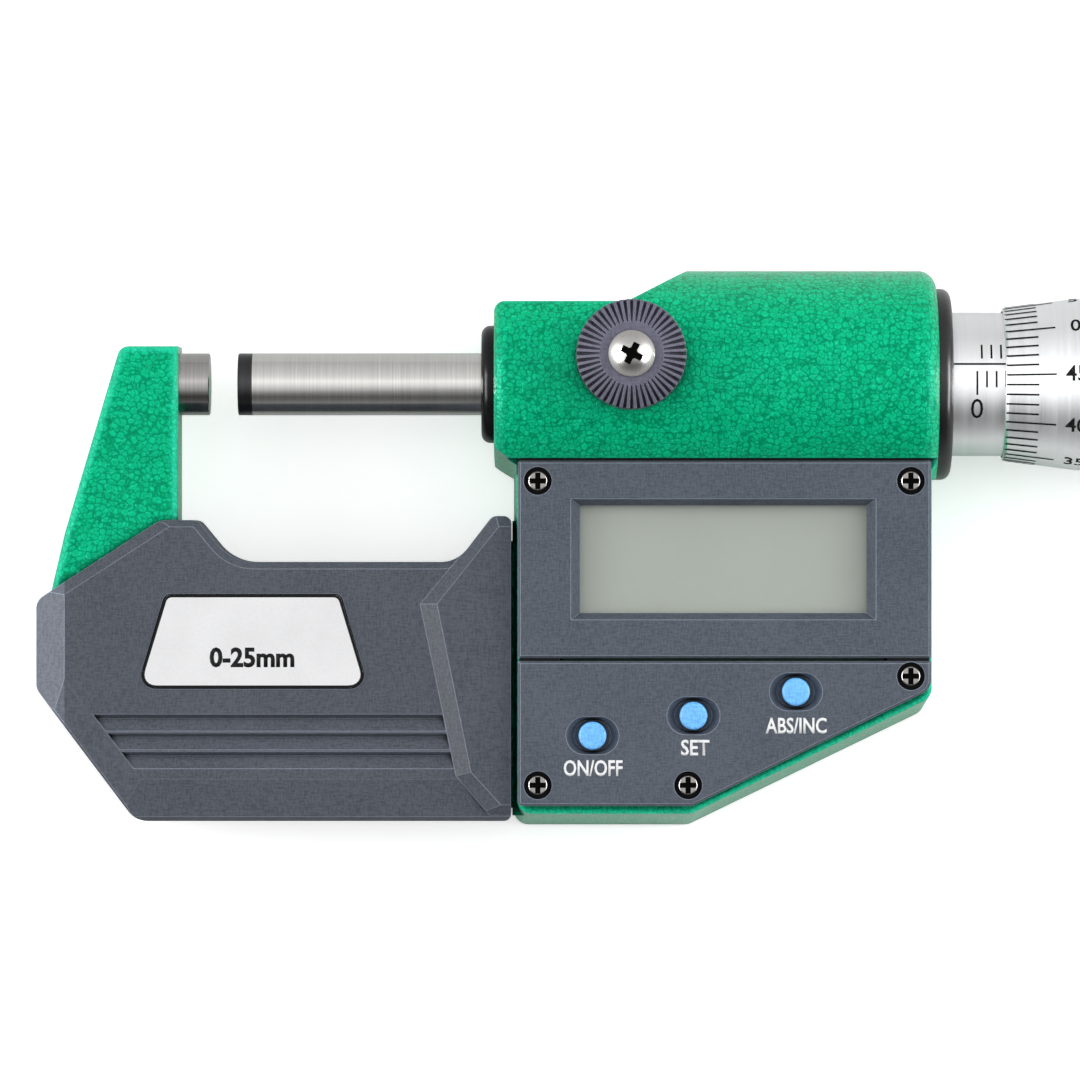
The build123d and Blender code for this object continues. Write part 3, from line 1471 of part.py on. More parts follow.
# Button cell in its compartment
with BuildPart() as battery:
    with BuildSketch(Plane.XY.offset(battery_bottom_z)):
        with Locations((battery_x, battery_y)):
            Circle(battery_diameter / 2)
    extrude(amount=battery_thickness - battery_step_height)
    fillet(battery.faces().sort_by(Axis.Z)[0].edges(), radius=battery_rounding)
    with BuildSketch(Plane.XY.offset(battery_top_z - battery_step_height)):
        with Locations((battery_x, battery_y)):
            Circle(battery_diameter / 2 - battery_step_inset)
    extrude(amount=battery_step_height)
battery.part.label = "battery"
export_step(battery.part, "parts/battery.step")

# Spring contact from the board down to the cell
contact_foot_x = battery_x - contact_offset
contact_bend_x = contact_foot_x + contact_pad
contact_head_x = contact_bend_x + contact_rise
contact_lean = contact_thickness * contact_rise / (board_seat_z - battery_top_z)
with BuildPart() as battery_contact:
    with BuildSketch(Plane.XZ.offset(-battery_y - contact_width / 2)):
        with BuildLine():
            Polyline(
                (contact_foot_x, battery_top_z),
                (contact_bend_x, battery_top_z),
                (contact_head_x, board_seat_z - contact_thickness),
                (contact_head_x + contact_pad, board_seat_z - contact_thickness),
                (contact_head_x + contact_pad, board_seat_z),
                (contact_head_x - contact_lean, board_seat_z),
                (contact_bend_x - contact_lean, battery_top_z + contact_thickness),
                (contact_foot_x, battery_top_z + contact_thickness),
                close=True,
            )
        make_face()
    extrude(amount=contact_width)
battery_contact.part.label = "battery_contact"
export_step(battery_contact.part, "parts/battery_contact.step")

# Cap of the compartment with its coin slot, and the ring that seals it
with BuildPart() as battery_cap:
    with BuildSketch(Plane.XY.offset(case_back_z + cap_sink)):
        with Locations((battery_x, battery_y)):
            Circle(cap_diameter / 2)
    extrude(amount=cap_thickness)
    with BuildSketch(Plane.XY.offset(case_back_z + cap_sink)):
        with Locations((battery_x, battery_y)):
            SlotOverall(cap_slot_length, cap_slot_width)
    extrude(amount=cap_slot_depth, mode=Mode.SUBTRACT)
battery_cap.part.label = "battery_cap"
export_step(battery_cap.part, "parts/battery_cap.step")

with BuildPart() as cap_ring:
    with BuildSketch(Plane.XY.offset(cap_seat_z)):
        with Locations((battery_x, battery_y)):
            Circle(cap_diameter / 2)
            Circle(battery_hole + ring_inset, mode=Mode.SUBTRACT)
    extrude(amount=ring_thickness)
cap_ring.part.label = "cap_ring"
export_step(cap_ring.part, "parts/cap_ring.step")
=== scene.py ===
import math
import bpy
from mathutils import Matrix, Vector


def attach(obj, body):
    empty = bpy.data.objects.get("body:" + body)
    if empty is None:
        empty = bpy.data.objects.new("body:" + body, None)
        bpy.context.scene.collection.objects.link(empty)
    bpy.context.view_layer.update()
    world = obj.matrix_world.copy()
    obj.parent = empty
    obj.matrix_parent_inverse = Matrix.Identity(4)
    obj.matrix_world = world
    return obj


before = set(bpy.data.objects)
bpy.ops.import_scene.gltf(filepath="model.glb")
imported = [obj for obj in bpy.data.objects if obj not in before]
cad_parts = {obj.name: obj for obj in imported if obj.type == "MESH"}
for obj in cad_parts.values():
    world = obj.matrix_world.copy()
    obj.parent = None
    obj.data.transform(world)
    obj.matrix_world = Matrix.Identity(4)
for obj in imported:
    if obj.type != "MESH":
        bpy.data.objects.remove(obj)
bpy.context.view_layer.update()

MM = 0.001

# Studio: the micrometer lies on a pale bench inside a white light tent.
# The tent is brightest overhead and at both ends, and darkest low down on the near side.
# The camera looks straight down on the display from 0.8 m.
BENCH_SIZE = 4.0
BENCH_Z = -10.02 * MM
bpy.ops.mesh.primitive_plane_add(size=BENCH_SIZE, location=(0.035, -0.016, BENCH_Z))
bench = bpy.context.object
bench.name = "bench_top"
bpy.ops.object.transform_apply(location=True, rotation=True, scale=True)
bench_paint = bpy.data.materials.new("bench_paint")
bench_paint.use_nodes = True
bench_nodes = bench_paint.node_tree.nodes
bench_links = bench_paint.node_tree.links
bench_shader = bench_nodes["Principled BSDF"]
bench_shader.inputs["Roughness"].default_value = 0.9
bench_shader.inputs["Specular IOR Level"].default_value = 0.1
bench_grain = bench_nodes.new("ShaderNodeTexNoise")
bench_grain.inputs["Scale"].default_value = 3.0
bench_tone = bench_nodes.new("ShaderNodeValToRGB")
bench_tone.color_ramp.elements[0].color = (0.93, 0.93, 0.93, 1)
bench_tone.color_ramp.elements[1].color = (0.95, 0.95, 0.95, 1)
bench_place = bench_nodes.new("ShaderNodeTexCoord")
# Mirrored in the metal the bench is greyer, and seen straight on it is bleached out
BENCH_MIRRORED = (0.66, 0.66, 0.66, 1)
BENCH_BLEACH = 0.45
bench_ray = bench_nodes.new("ShaderNodeLightPath")
bench_flag = bench_nodes.new("ShaderNodeMixRGB")
bench_flag.inputs["Color2"].default_value = BENCH_MIRRORED
bench_links.new(bench_place.outputs["Object"], bench_grain.inputs["Vector"])
bench_links.new(bench_grain.outputs["Fac"], bench_tone.inputs["Fac"])
bench_links.new(bench_ray.outputs["Is Glossy Ray"], bench_flag.inputs["Fac"])
bench_links.new(bench_tone.outputs["Color"], bench_flag.inputs["Color1"])
bench_links.new(bench_flag.outputs["Color"], bench_shader.inputs["Base Color"])
bench_glow = bench_nodes.new("ShaderNodeMath")
bench_glow.operation = "MULTIPLY"
bench_glow.inputs[1].default_value = BENCH_BLEACH
bench_links.new(bench_ray.outputs["Is Camera Ray"], bench_glow.inputs[0])
bench_links.new(bench_glow.outputs["Value"], bench_shader.inputs["Emission Strength"])
bench_shader.inputs["Emission Color"].default_value = (1.0, 1.0, 1.0, 1)
bench.data.materials.append(bench_paint)


def soft_box(name, place, aim, width, height, power, lights_faces=True):
    bpy.ops.object.light_add(type="AREA", location=place)
    lamp = bpy.context.object
    lamp.name = name
    lamp.data.shape = "RECTANGLE"
    lamp.data.size = width
    lamp.data.size_y = height
    lamp.data.energy = power
    lamp.rotation_euler = (Vector(aim) - Vector(place)).to_track_quat("-Z", "Y").to_euler()
    lamp.visible_diffuse = lights_faces


# The two strips light no face, they show only as highlights on rounded rims
middle = (0.035, -0.01, 0.0)
soft_box("left_box", (-0.95, 0.12, 0.52), middle, width=0.6, height=0.5, power=2.4)
soft_box("right_box", (0.97, 0.12, 0.52), middle, width=0.5, height=0.5, power=3.0)
soft_box("left_strip", (-0.90, -0.05, 0.62), middle, width=0.9, height=0.46, power=24.0,
         lights_faces=False)
soft_box("right_strip", (0.98, -0.05, 0.58), middle, width=0.9, height=0.36, power=15.0,
         lights_faces=False)

# Brightness of the tent by the angle from overhead, in degrees, positive away from the viewer
tent_bands = [
    (-180, 0.35), (-92, 0.50), (-80, 0.42), (-64, 0.16), (-46, 0.08), (-32, 0.32), (-19, 0.76),
    (-4, 1.10), (11, 1.50), (25, 1.05), (45, 0.84), (66, 0.74), (92, 0.60), (180, 0.35),
]
sky = bpy.data.worlds.new("light_tent")
bpy.context.scene.world = sky
sky.use_nodes = True
sky_nodes = sky.node_tree.nodes
sky_links = sky.node_tree.links
sky_way = sky_nodes.new("ShaderNodeTexCoord")
sky_axes = sky_nodes.new("ShaderNodeSeparateXYZ")
sky_angle = sky_nodes.new("ShaderNodeMath")
sky_angle.operation = "ARCTAN2"
sky_share = sky_nodes.new("ShaderNodeMapRange")
sky_share.inputs["From Min"].default_value = -math.pi
sky_share.inputs["From Max"].default_value = math.pi
sky_bands = sky_nodes.new("ShaderNodeValToRGB")
band_stops = sky_bands.color_ramp.elements
TENT_PEAK = 1.5
for index, (angle, level) in enumerate(tent_bands):
    place_on_ramp = (angle + 180) / 360
    stop = band_stops[index] if index < 2 else band_stops.new(place_on_ramp)
    stop.position = place_on_ramp
    stop.color = (level / TENT_PEAK, level / TENT_PEAK, level / TENT_PEAK, 1)
# Both ends of the tent are brighter than its middle, and more so the lower down
END_GAIN = 1.3
END_STEEPNESS = 4.0
sky_reach = sky_nodes.new("ShaderNodeMath")
sky_reach.operation = "ABSOLUTE"
sky_lift = sky_nodes.new("ShaderNodeMath")
sky_lift.operation = "POWER"
sky_lift.inputs[1].default_value = END_STEEPNESS
sky_side = sky_nodes.new("ShaderNodeMath")
sky_side.operation = "MULTIPLY_ADD"
sky_side.inputs[1].default_value = END_GAIN * TENT_PEAK
sky_side.inputs[2].default_value = TENT_PEAK
sky_level = sky_nodes.new("ShaderNodeMath")
sky_level.operation = "MULTIPLY"
BACKDROP_LEVEL = 0.92
sky_ray = sky_nodes.new("ShaderNodeLightPath")
sky_view = sky_nodes.new("ShaderNodeMapRange")
sky_view.inputs["To Max"].default_value = BACKDROP_LEVEL
sky_links.new(sky_way.outputs["Generated"], sky_axes.inputs["Vector"])
sky_links.new(sky_axes.outputs["Y"], sky_angle.inputs[0])
sky_links.new(sky_axes.outputs["Z"], sky_angle.inputs[1])
sky_links.new(sky_angle.outputs["Value"], sky_share.inputs["Value"])
sky_links.new(sky_share.outputs["Result"], sky_bands.inputs["Fac"])
sky_links.new(sky_axes.outputs["X"], sky_reach.inputs[0])
sky_links.new(sky_reach.outputs["Value"], sky_lift.inputs[0])
sky_links.new(sky_lift.outputs["Value"], sky_side.inputs[0])
sky_links.new(sky_bands.outputs["Color"], sky_level.inputs[0])
sky_links.new(sky_side.outputs["Value"], sky_level.inputs[1])
sky_links.new(sky_ray.outputs["Is Camera Ray"], sky_view.inputs["Value"])
sky_links.new(sky_level.outputs["Value"], sky_view.inputs["To Min"])
sky_links.new(sky_view.outputs["Result"], sky_nodes["Background"].inputs["Strength"])
sky_nodes["Background"].inputs["Color"].default_value = (1.0, 1.0, 1.0, 1)

CAMERA_X, CAMERA_Y, CAMERA_Z = 34.53 * MM, -16.30 * MM, 800 * MM
VIEW_WIDTH = 113.09 * MM
SENSOR_WIDTH = 36.0
bpy.ops.object.camera_add(location=(CAMERA_X, CAMERA_Y, CAMERA_Z), rotation=(0, 0, 0))
camera = bpy.context.object
camera.data.sensor_width = SENSOR_WIDTH
camera.data.lens = SENSOR_WIDTH * CAMERA_Z / VIEW_WIDTH
camera.data.clip_end = 10.0
bpy.context.scene.camera = camera
bpy.context.scene.view_settings.view_transform = "Standard"

# Frame: an iron casting with post, bow, spindle barrel and box in one.
# It is finished in a hammered green enamel that dries into small rounded glossy cells.


def new_finish(name):
    finish = bpy.data.materials.new(name)
    finish.use_nodes = True
    nodes = finish.node_tree.nodes
    return finish, nodes, finish.node_tree.links, nodes["Principled BSDF"]


def dress(node, finish):
    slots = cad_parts[node].data.materials
    if len(slots) == 0:
        slots.append(finish)
    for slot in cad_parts[node].material_slots:
        slot.material = finish


def new_effect(name, inputs, outputs):
    effect = bpy.data.node_groups.new(name, "ShaderNodeTree")
    for socket, kind in inputs:
        effect.interface.new_socket(socket, in_out="INPUT", socket_type=kind)
    for socket, kind in outputs:
        effect.interface.new_socket(socket, in_out="OUTPUT", socket_type=kind)
    return effect, effect.nodes.new("NodeGroupInput"), effect.nodes.new("NodeGroupOutput")


def use_effect(nodes, effect, **values):
    placed = nodes.new("ShaderNodeGroup")
    placed.node_tree = effect
    for socket, value in values.items():
        placed.inputs[socket].default_value = value
    return placed


# Edges of moulded and cast pieces are slightly round: Normal bends over them within Radius,
# and Edge is 1 on an edge and 0 on a flat face.
soft_edges, edge_in, edge_out = new_effect(
    "soft_edges",
    [("Radius", "NodeSocketFloat")],
    [("Normal", "NodeSocketVector"), ("Edge", "NodeSocketFloat")],
)
edge_bevel = soft_edges.nodes.new("ShaderNodeBevel")
edge_bevel.samples = 4
edge_face = soft_edges.nodes.new("ShaderNodeNewGeometry")
edge_dot = soft_edges.nodes.new("ShaderNodeVectorMath")
edge_dot.operation = "DOT_PRODUCT"
edge_mask = soft_edges.nodes.new("ShaderNodeMapRange")
edge_mask.inputs["From Min"].default_value = 0.999
edge_mask.inputs["From Max"].default_value = 0.980
soft_edges.links.new(edge_in.outputs["Radius"], edge_bevel.inputs["Radius"])
soft_edges.links.new(edge_bevel.outputs["Normal"], edge_dot.inputs[0])
soft_edges.links.new(edge_face.outputs["Normal"], edge_dot.inputs[1])
soft_edges.links.new(edge_dot.outputs["Value"], edge_mask.inputs["Value"])
soft_edges.links.new(edge_bevel.outputs["Normal"], edge_out.inputs["Normal"])
soft_edges.links.new(edge_mask.outputs["Result"], edge_out.inputs["Edge"])

# Painted shade: crevices and narrow gaps are darkened in the colour, as little light gets into
# them.
# Shade is 1 in the open, and falls to Darkest where walls stand closer than Reach.
painted_crevice_shade, crevice_in, crevice_out = new_effect(
    "painted_crevice_shade",
    [("Reach", "NodeSocketFloat"), ("Darkest", "NodeSocketFloat")],
    [("Shade", "NodeSocketFloat")],
)
crevice_view = painted_crevice_shade.nodes.new("ShaderNodeAmbientOcclusion")
crevice_view.samples = 6
crevice_curve = painted_crevice_shade.nodes.new("ShaderNodeMapRange")
crevice_curve.interpolation_type = "SMOOTHSTEP"
crevice_curve.inputs["From Min"].default_value = 0.32
crevice_curve.inputs["From Max"].default_value = 0.90
painted_crevice_shade.links.new(crevice_in.outputs["Reach"], crevice_view.inputs["Distance"])
painted_crevice_shade.links.new(crevice_in.outputs["Darkest"], crevice_curve.inputs["To Min"])
painted_crevice_shade.links.new(crevice_view.outputs["AO"], crevice_curve.inputs["Value"])
painted_crevice_shade.links.new(crevice_curve.outputs["Result"], crevice_out.inputs["Shade"])

# Enamel cells: rounded, with dark borders that widen where three cells meet.
# Border is 0 between cells and grows towards their middles, and Tone differs by cell.
CELL_ROUNDNESS = 1.3
CELL_GROWTH = 0.17
enamel_cells, cell_in, cell_out = new_effect(
    "enamel_cells",
    [("Vector", "NodeSocketVector"), ("Cells", "NodeSocketFloat"), ("Waver", "NodeSocketFloat")],
    [("Border", "NodeSocketFloat"), ("Tone", "NodeSocketFloat")],
)
cell_wander = enamel_cells.nodes.new("ShaderNodeTexNoise")
cell_wander.inputs["Scale"].default_value = 420.0
cell_wander.inputs["Detail"].default_value = 2.5
cell_middle = enamel_cells.nodes.new("ShaderNodeVectorMath")
cell_middle.operation = "SUBTRACT"
cell_middle.inputs[1].default_value = (0.5, 0.5, 0.5)
cell_scale = enamel_cells.nodes.new("ShaderNodeVectorMath")
cell_scale.operation = "SCALE"
cell_shift = enamel_cells.nodes.new("ShaderNodeVectorMath")
cell_shift.operation = "ADD"
cell_near = enamel_cells.nodes.new("ShaderNodeTexVoronoi")
cell_near.feature = "F1"
cell_next = enamel_cells.nodes.new("ShaderNodeTexVoronoi")
cell_next.feature = "F2"
cell_reach = enamel_cells.nodes.new("ShaderNodeMath")
cell_reach.operation = "MULTIPLY_ADD"
cell_reach.inputs[1].default_value = -CELL_ROUNDNESS
cell_reach.inputs[2].default_value = CELL_GROWTH
cell_rim = enamel_cells.nodes.new("ShaderNodeMath")
cell_rim.operation = "ADD"
cell_rim.use_clamp = True
cell_grey = enamel_cells.nodes.new("ShaderNodeRGBToBW")
enamel_cells.links.new(cell_in.outputs["Vector"], cell_wander.inputs["Vector"])
enamel_cells.links.new(cell_wander.outputs["Color"], cell_middle.inputs[0])
enamel_cells.links.new(cell_middle.outputs["Vector"], cell_scale.inputs[0])
enamel_cells.links.new(cell_in.outputs["Waver"], cell_scale.inputs["Scale"])
enamel_cells.links.new(cell_in.outputs["Vector"], cell_shift.inputs[0])
enamel_cells.links.new(cell_scale.outputs["Vector"], cell_shift.inputs[1])
for cell_texture in (cell_near, cell_next):
    cell_texture.inputs["Randomness"].default_value = 0.75
    enamel_cells.links.new(cell_shift.outputs["Vector"], cell_texture.inputs["Vector"])
    enamel_cells.links.new(cell_in.outputs["Cells"], cell_texture.inputs["Scale"])
enamel_cells.links.new(cell_next.outputs["Distance"], cell_rim.inputs[0])
enamel_cells.links.new(cell_near.outputs["Distance"], cell_reach.inputs[0])
enamel_cells.links.new(cell_reach.outputs["Value"], cell_rim.inputs[1])
enamel_cells.links.new(cell_near.outputs["Color"], cell_grey.inputs["Color"])
enamel_cells.links.new(cell_rim.outputs["Value"], cell_out.inputs["Border"])
enamel_cells.links.new(cell_grey.outputs["Val"], cell_out.inputs["Tone"])

enamel, nodes, links, shader = new_finish("hammered_enamel")
place = nodes.new("ShaderNodeTexCoord")
cells = use_effect(nodes, enamel_cells, Cells=1600.0, Waver=0.0012)
# Colour of the paint, from the border between cells to the middle of a cell
BORDER_GREEN = (0.0002, 0.245, 0.102, 1)
MIDDLE_GREEN = (0.0010, 0.395, 0.168, 1)
GREENS_BETWEEN = ((0.11, (0.0004, 0.330, 0.140, 1)), (0.34, (0.0030, 0.480, 0.220, 1)))
patches = nodes.new("ShaderNodeTexNoise")
patches.inputs["Scale"].default_value = 700.0
patches.inputs["Detail"].default_value = 4.0
patches.inputs["Roughness"].default_value = 0.75
veins = nodes.new("ShaderNodeValToRGB")
veins.color_ramp.interpolation = "EASE"
veins.color_ramp.elements[0].color = BORDER_GREEN
veins.color_ramp.elements[1].position = 0.75
veins.color_ramp.elements[1].color = MIDDLE_GREEN
for spot, green in GREENS_BETWEEN:
    veins.color_ramp.elements.new(spot).color = green
# Cells and wider patches differ in tone
CELL_TONE_SHARE = 0.30
fill = nodes.new("ShaderNodeMath")
fill.operation = "MULTIPLY_ADD"
fill.inputs[1].default_value = CELL_TONE_SHARE
blotch = nodes.new("ShaderNodeMapRange")
blotch.inputs["From Min"].default_value = 0.45
blotch.inputs["From Max"].default_value = 0.85
blotch.inputs["To Min"].default_value = 0.84
blotch.inputs["To Max"].default_value = 1.16
shade = nodes.new("ShaderNodeVectorMath")
shade.operation = "SCALE"
# Painted highlights: pale glints scattered over the enamel, and a pale band along its rims
HIGHLIGHT_GREEN = (0.03, 0.76, 0.49, 1)
RIM_HIGHLIGHT = 0.5
painted_glints = nodes.new("ShaderNodeTexNoise")
painted_glints.inputs["Scale"].default_value = 3600.0
painted_glints.inputs["Detail"].default_value = 2.0
glint_share = nodes.new("ShaderNodeMapRange")
glint_share.interpolation_type = "SMOOTHSTEP"
glint_share.inputs["From Min"].default_value = 0.54
glint_share.inputs["From Max"].default_value = 0.72
glint_share.inputs["To Max"].default_value = 0.42
painted_highlight_share = nodes.new("ShaderNodeMath")
painted_highlight_share.operation = "MULTIPLY_ADD"
painted_highlight_share.inputs[1].default_value = RIM_HIGHLIGHT
painted_highlight_share.use_clamp = True
glint_and_rim_highlight = nodes.new("ShaderNodeMixRGB")
glint_and_rim_highlight.inputs["Color2"].default_value = HIGHLIGHT_GREEN
# Painted shade: the enamel is darkened where walls stand close, to black in narrow gaps
painted_hollow_shade = use_effect(nodes, painted_crevice_shade, Reach=2.2 * MM, Darkest=0.0)
shaded_enamel = nodes.new("ShaderNodeVectorMath")
shaded_enamel.operation = "SCALE"
# Each cell swells a little over its border
pillow = nodes.new("ShaderNodeMapRange")
pillow.interpolation_type = "SMOOTHSTEP"
pillow.inputs["From Max"].default_value = 0.35
swell = nodes.new("ShaderNodeBump")
swell.inputs["Strength"].default_value = 0.5
swell.inputs["Distance"].default_value = 0.00006
edges = use_effect(nodes, soft_edges, Radius=0.7 * MM)
links.new(place.outputs["Object"], cells.inputs["Vector"])
links.new(place.outputs["Object"], patches.inputs["Vector"])
links.new(cells.outputs["Border"], veins.inputs["Fac"])
links.new(cells.outputs["Tone"], fill.inputs[0])
links.new(patches.outputs["Fac"], fill.inputs[2])
links.new(fill.outputs["Value"], blotch.inputs["Value"])
links.new(veins.outputs["Color"], shade.inputs[0])
links.new(blotch.outputs["Result"], shade.inputs["Scale"])
links.new(place.outputs["Object"], painted_glints.inputs["Vector"])
links.new(painted_glints.outputs["Fac"], glint_share.inputs["Value"])
links.new(edges.outputs["Edge"], painted_highlight_share.inputs[0])
links.new(glint_share.outputs["Result"], painted_highlight_share.inputs[2])
links.new(painted_highlight_share.outputs["Value"], glint_and_rim_highlight.inputs["Fac"])
links.new(shade.outputs["Vector"], glint_and_rim_highlight.inputs["Color1"])
links.new(glint_and_rim_highlight.outputs["Color"], shaded_enamel.inputs[0])
links.new(painted_hollow_shade.outputs["Shade"], shaded_enamel.inputs["Scale"])
links.new(shaded_enamel.outputs["Vector"], shader.inputs["Base Color"])
links.new(cells.outputs["Border"], pillow.inputs["Value"])
links.new(pillow.outputs["Result"], swell.inputs["Height"])
links.new(edges.outputs["Normal"], swell.inputs["Normal"])
links.new(swell.outputs["Normal"], shader.inputs["Normal"])
shader.inputs["Roughness"].default_value = 0.17
shader.inputs["Specular IOR Level"].default_value = 0.30
shader.inputs["Specular Tint"].default_value = (0.10, 1.0, 0.70, 1)
dress("frame", enamel)

# Anvil and spindle: hardened steel, ground round, so fine scratches run round them.
# The spindle ends in a brazed disc of dark carbide, lapped flat.
STREAKS_ACROSS = (0.0, 70.0, 70.0)
turned_streaks, streak_in, streak_out = new_effect(
    "turned_streaks",
    [("Vector", "NodeSocketVector"), ("Fineness", "NodeSocketFloat")],
    [("Streaks", "NodeSocketFloat")],
)
streak_axes = turned_streaks.nodes.new("ShaderNodeSeparateXYZ")
streak_along = turned_streaks.nodes.new("ShaderNodeMath")
streak_along.operation = "MULTIPLY"
streak_across = turned_streaks.nodes.new("ShaderNodeVectorMath")
streak_across.operation = "MULTIPLY"
streak_across.inputs[1].default_value = STREAKS_ACROSS
streak_place = turned_streaks.nodes.new("ShaderNodeCombineXYZ")
streak_sum = turned_streaks.nodes.new("ShaderNodeVectorMath")
streak_sum.operation = "ADD"
streak_noise = turned_streaks.nodes.new("ShaderNodeTexNoise")
streak_noise.inputs["Scale"].default_value = 1.0
streak_noise.inputs["Detail"].default_value = 3.0
turned_streaks.links.new(streak_in.outputs["Vector"], streak_axes.inputs["Vector"])
turned_streaks.links.new(streak_axes.outputs["X"], streak_along.inputs[0])
turned_streaks.links.new(streak_in.outputs["Fineness"], streak_along.inputs[1])
turned_streaks.links.new(streak_along.outputs["Value"], streak_place.inputs["X"])
turned_streaks.links.new(streak_in.outputs["Vector"], streak_across.inputs[0])
turned_streaks.links.new(streak_place.outputs["Vector"], streak_sum.inputs[0])
turned_streaks.links.new(streak_across.outputs["Vector"], streak_sum.inputs[1])
turned_streaks.links.new(streak_sum.outputs["Vector"], streak_noise.inputs["Vector"])
turned_streaks.links.new(streak_noise.outputs["Fac"], streak_out.inputs["Streaks"])


def ground_metal(name, colour, roughness, streak_depth, fineness=5200.0, darkest=0.86):
    metal, nodes, links, shader = new_finish(name)
    place = nodes.new("ShaderNodeTexCoord")
    streaks = use_effect(nodes, turned_streaks, Fineness=fineness)
    tone = nodes.new("ShaderNodeValToRGB")
    tone.color_ramp.elements[0].position = 0.3
    tone.color_ramp.elements[0].color = (*[part * darkest for part in colour], 1)
    tone.color_ramp.elements[1].position = 0.7
    tone.color_ramp.elements[1].color = (*colour, 1)
    gloss = nodes.new("ShaderNodeMapRange")
    gloss.inputs["To Min"].default_value = roughness * 0.8
    gloss.inputs["To Max"].default_value = roughness * 1.25
    scratch = nodes.new("ShaderNodeBump")
    scratch.inputs["Strength"].default_value = streak_depth
    scratch.inputs["Distance"].default_value = 0.00002
    links.new(place.outputs["Object"], streaks.inputs["Vector"])
    links.new(streaks.outputs["Streaks"], tone.inputs["Fac"])
    links.new(streaks.outputs["Streaks"], gloss.inputs["Value"])
    links.new(streaks.outputs["Streaks"], scratch.inputs["Height"])
    links.new(tone.outputs["Color"], shader.inputs["Base Color"])
    links.new(gloss.outputs["Result"], shader.inputs["Roughness"])
    links.new(scratch.outputs["Normal"], shader.inputs["Normal"])
    shader.inputs["Metallic"].default_value = 1.0
    return metal


ground_steel = ground_metal(
    "ground_steel", (0.66, 0.65, 0.63), roughness=0.22, streak_depth=0.25)
dark_steel = ground_metal(
    "hardened_anvil_steel", (0.40, 0.39, 0.38), roughness=0.15, streak_depth=0.25)
carbide = ground_metal(
    "lapped_carbide", (0.055, 0.056, 0.058), roughness=0.30, streak_depth=0.15)
dress("anvil", dark_steel)
dress("spindle_tip", carbide)
for node in ("spindle", "lock_shaft", "ratchet_crown", "ratchet_screw", "ratchet_spring",
             "rotor_clip"):
    dress(node, ground_steel)

# Seal ring, gasket, cap ring and washers of black rubber, and a collar of glossy black plastic.
# The seal is a moulded lip ring pressed into the barrel, the collar is turned.

# Pores and clouds: Grain is the fine pores alone, Mottle mixes in wider clouds by Clouds.
fine_grain, grain_in, grain_out = new_effect(
    "fine_grain",
    [("Vector", "NodeSocketVector"), ("Fine", "NodeSocketFloat"), ("Coarse", "NodeSocketFloat"),
     ("Clouds", "NodeSocketFloat")],
    [("Grain", "NodeSocketFloat"), ("Mottle", "NodeSocketFloat")],
)
grain_fine = fine_grain.nodes.new("ShaderNodeTexNoise")
grain_fine.inputs["Detail"].default_value = 4.0
grain_fine.inputs["Roughness"].default_value = 0.7
grain_coarse = fine_grain.nodes.new("ShaderNodeTexNoise")
grain_coarse.inputs["Detail"].default_value = 5.0
grain_both = fine_grain.nodes.new("ShaderNodeMix")
fine_grain.links.new(grain_in.outputs["Vector"], grain_fine.inputs["Vector"])
fine_grain.links.new(grain_in.outputs["Fine"], grain_fine.inputs["Scale"])
fine_grain.links.new(grain_in.outputs["Vector"], grain_coarse.inputs["Vector"])
fine_grain.links.new(grain_in.outputs["Coarse"], grain_coarse.inputs["Scale"])
fine_grain.links.new(grain_in.outputs["Clouds"], grain_both.inputs["Factor"])
fine_grain.links.new(grain_fine.outputs["Fac"], grain_both.inputs["A"])
fine_grain.links.new(grain_coarse.outputs["Fac"], grain_both.inputs["B"])
fine_grain.links.new(grain_fine.outputs["Fac"], grain_out.inputs["Grain"])
fine_grain.links.new(grain_both.outputs["Result"], grain_out.inputs["Mottle"])


def black_finish(name, roughness, coat, speckle, shine=0.5):
    black, nodes, links, shader = new_finish(name)
    place = nodes.new("ShaderNodeTexCoord")
    pores = use_effect(nodes, fine_grain, Fine=2600.0, Coarse=400.0, Clouds=0.3)
    tone = nodes.new("ShaderNodeValToRGB")
    tone.color_ramp.elements[0].color = (0.004, 0.004, 0.005, 1)
    tone.color_ramp.elements[1].color = (0.016, 0.015, 0.017, 1)
    skin = nodes.new("ShaderNodeBump")
    skin.inputs["Strength"].default_value = speckle
    skin.inputs["Distance"].default_value = 0.00005
    edges = use_effect(nodes, soft_edges, Radius=0.2 * MM)
    links.new(place.outputs["Object"], pores.inputs["Vector"])
    links.new(pores.outputs["Mottle"], tone.inputs["Fac"])
    links.new(pores.outputs["Grain"], skin.inputs["Height"])
    links.new(edges.outputs["Normal"], skin.inputs["Normal"])
    links.new(tone.outputs["Color"], shader.inputs["Base Color"])
    links.new(skin.outputs["Normal"], shader.inputs["Normal"])
    shader.inputs["Roughness"].default_value = roughness
    shader.inputs["Coat Weight"].default_value = coat
    shader.inputs["Specular IOR Level"].default_value = shine
    return black


seal_rubber = black_finish("seal_rubber", roughness=0.22, coat=0.0, speckle=0.1, shine=0.14)
collar_black = black_finish("collar_black", roughness=0.28, coat=0.12, speckle=0.35, shine=0.42)
washer_rubber = black_finish("washer_rubber", roughness=0.6, coat=0.0, speckle=0.2, shine=0.08)
for node in ("spindle_seal", "panel_gasket", "cap_ring"):
    dress(node, seal_rubber)
dress("sleeve_collar", collar_black)
dress("screw_washers", washer_rubber)

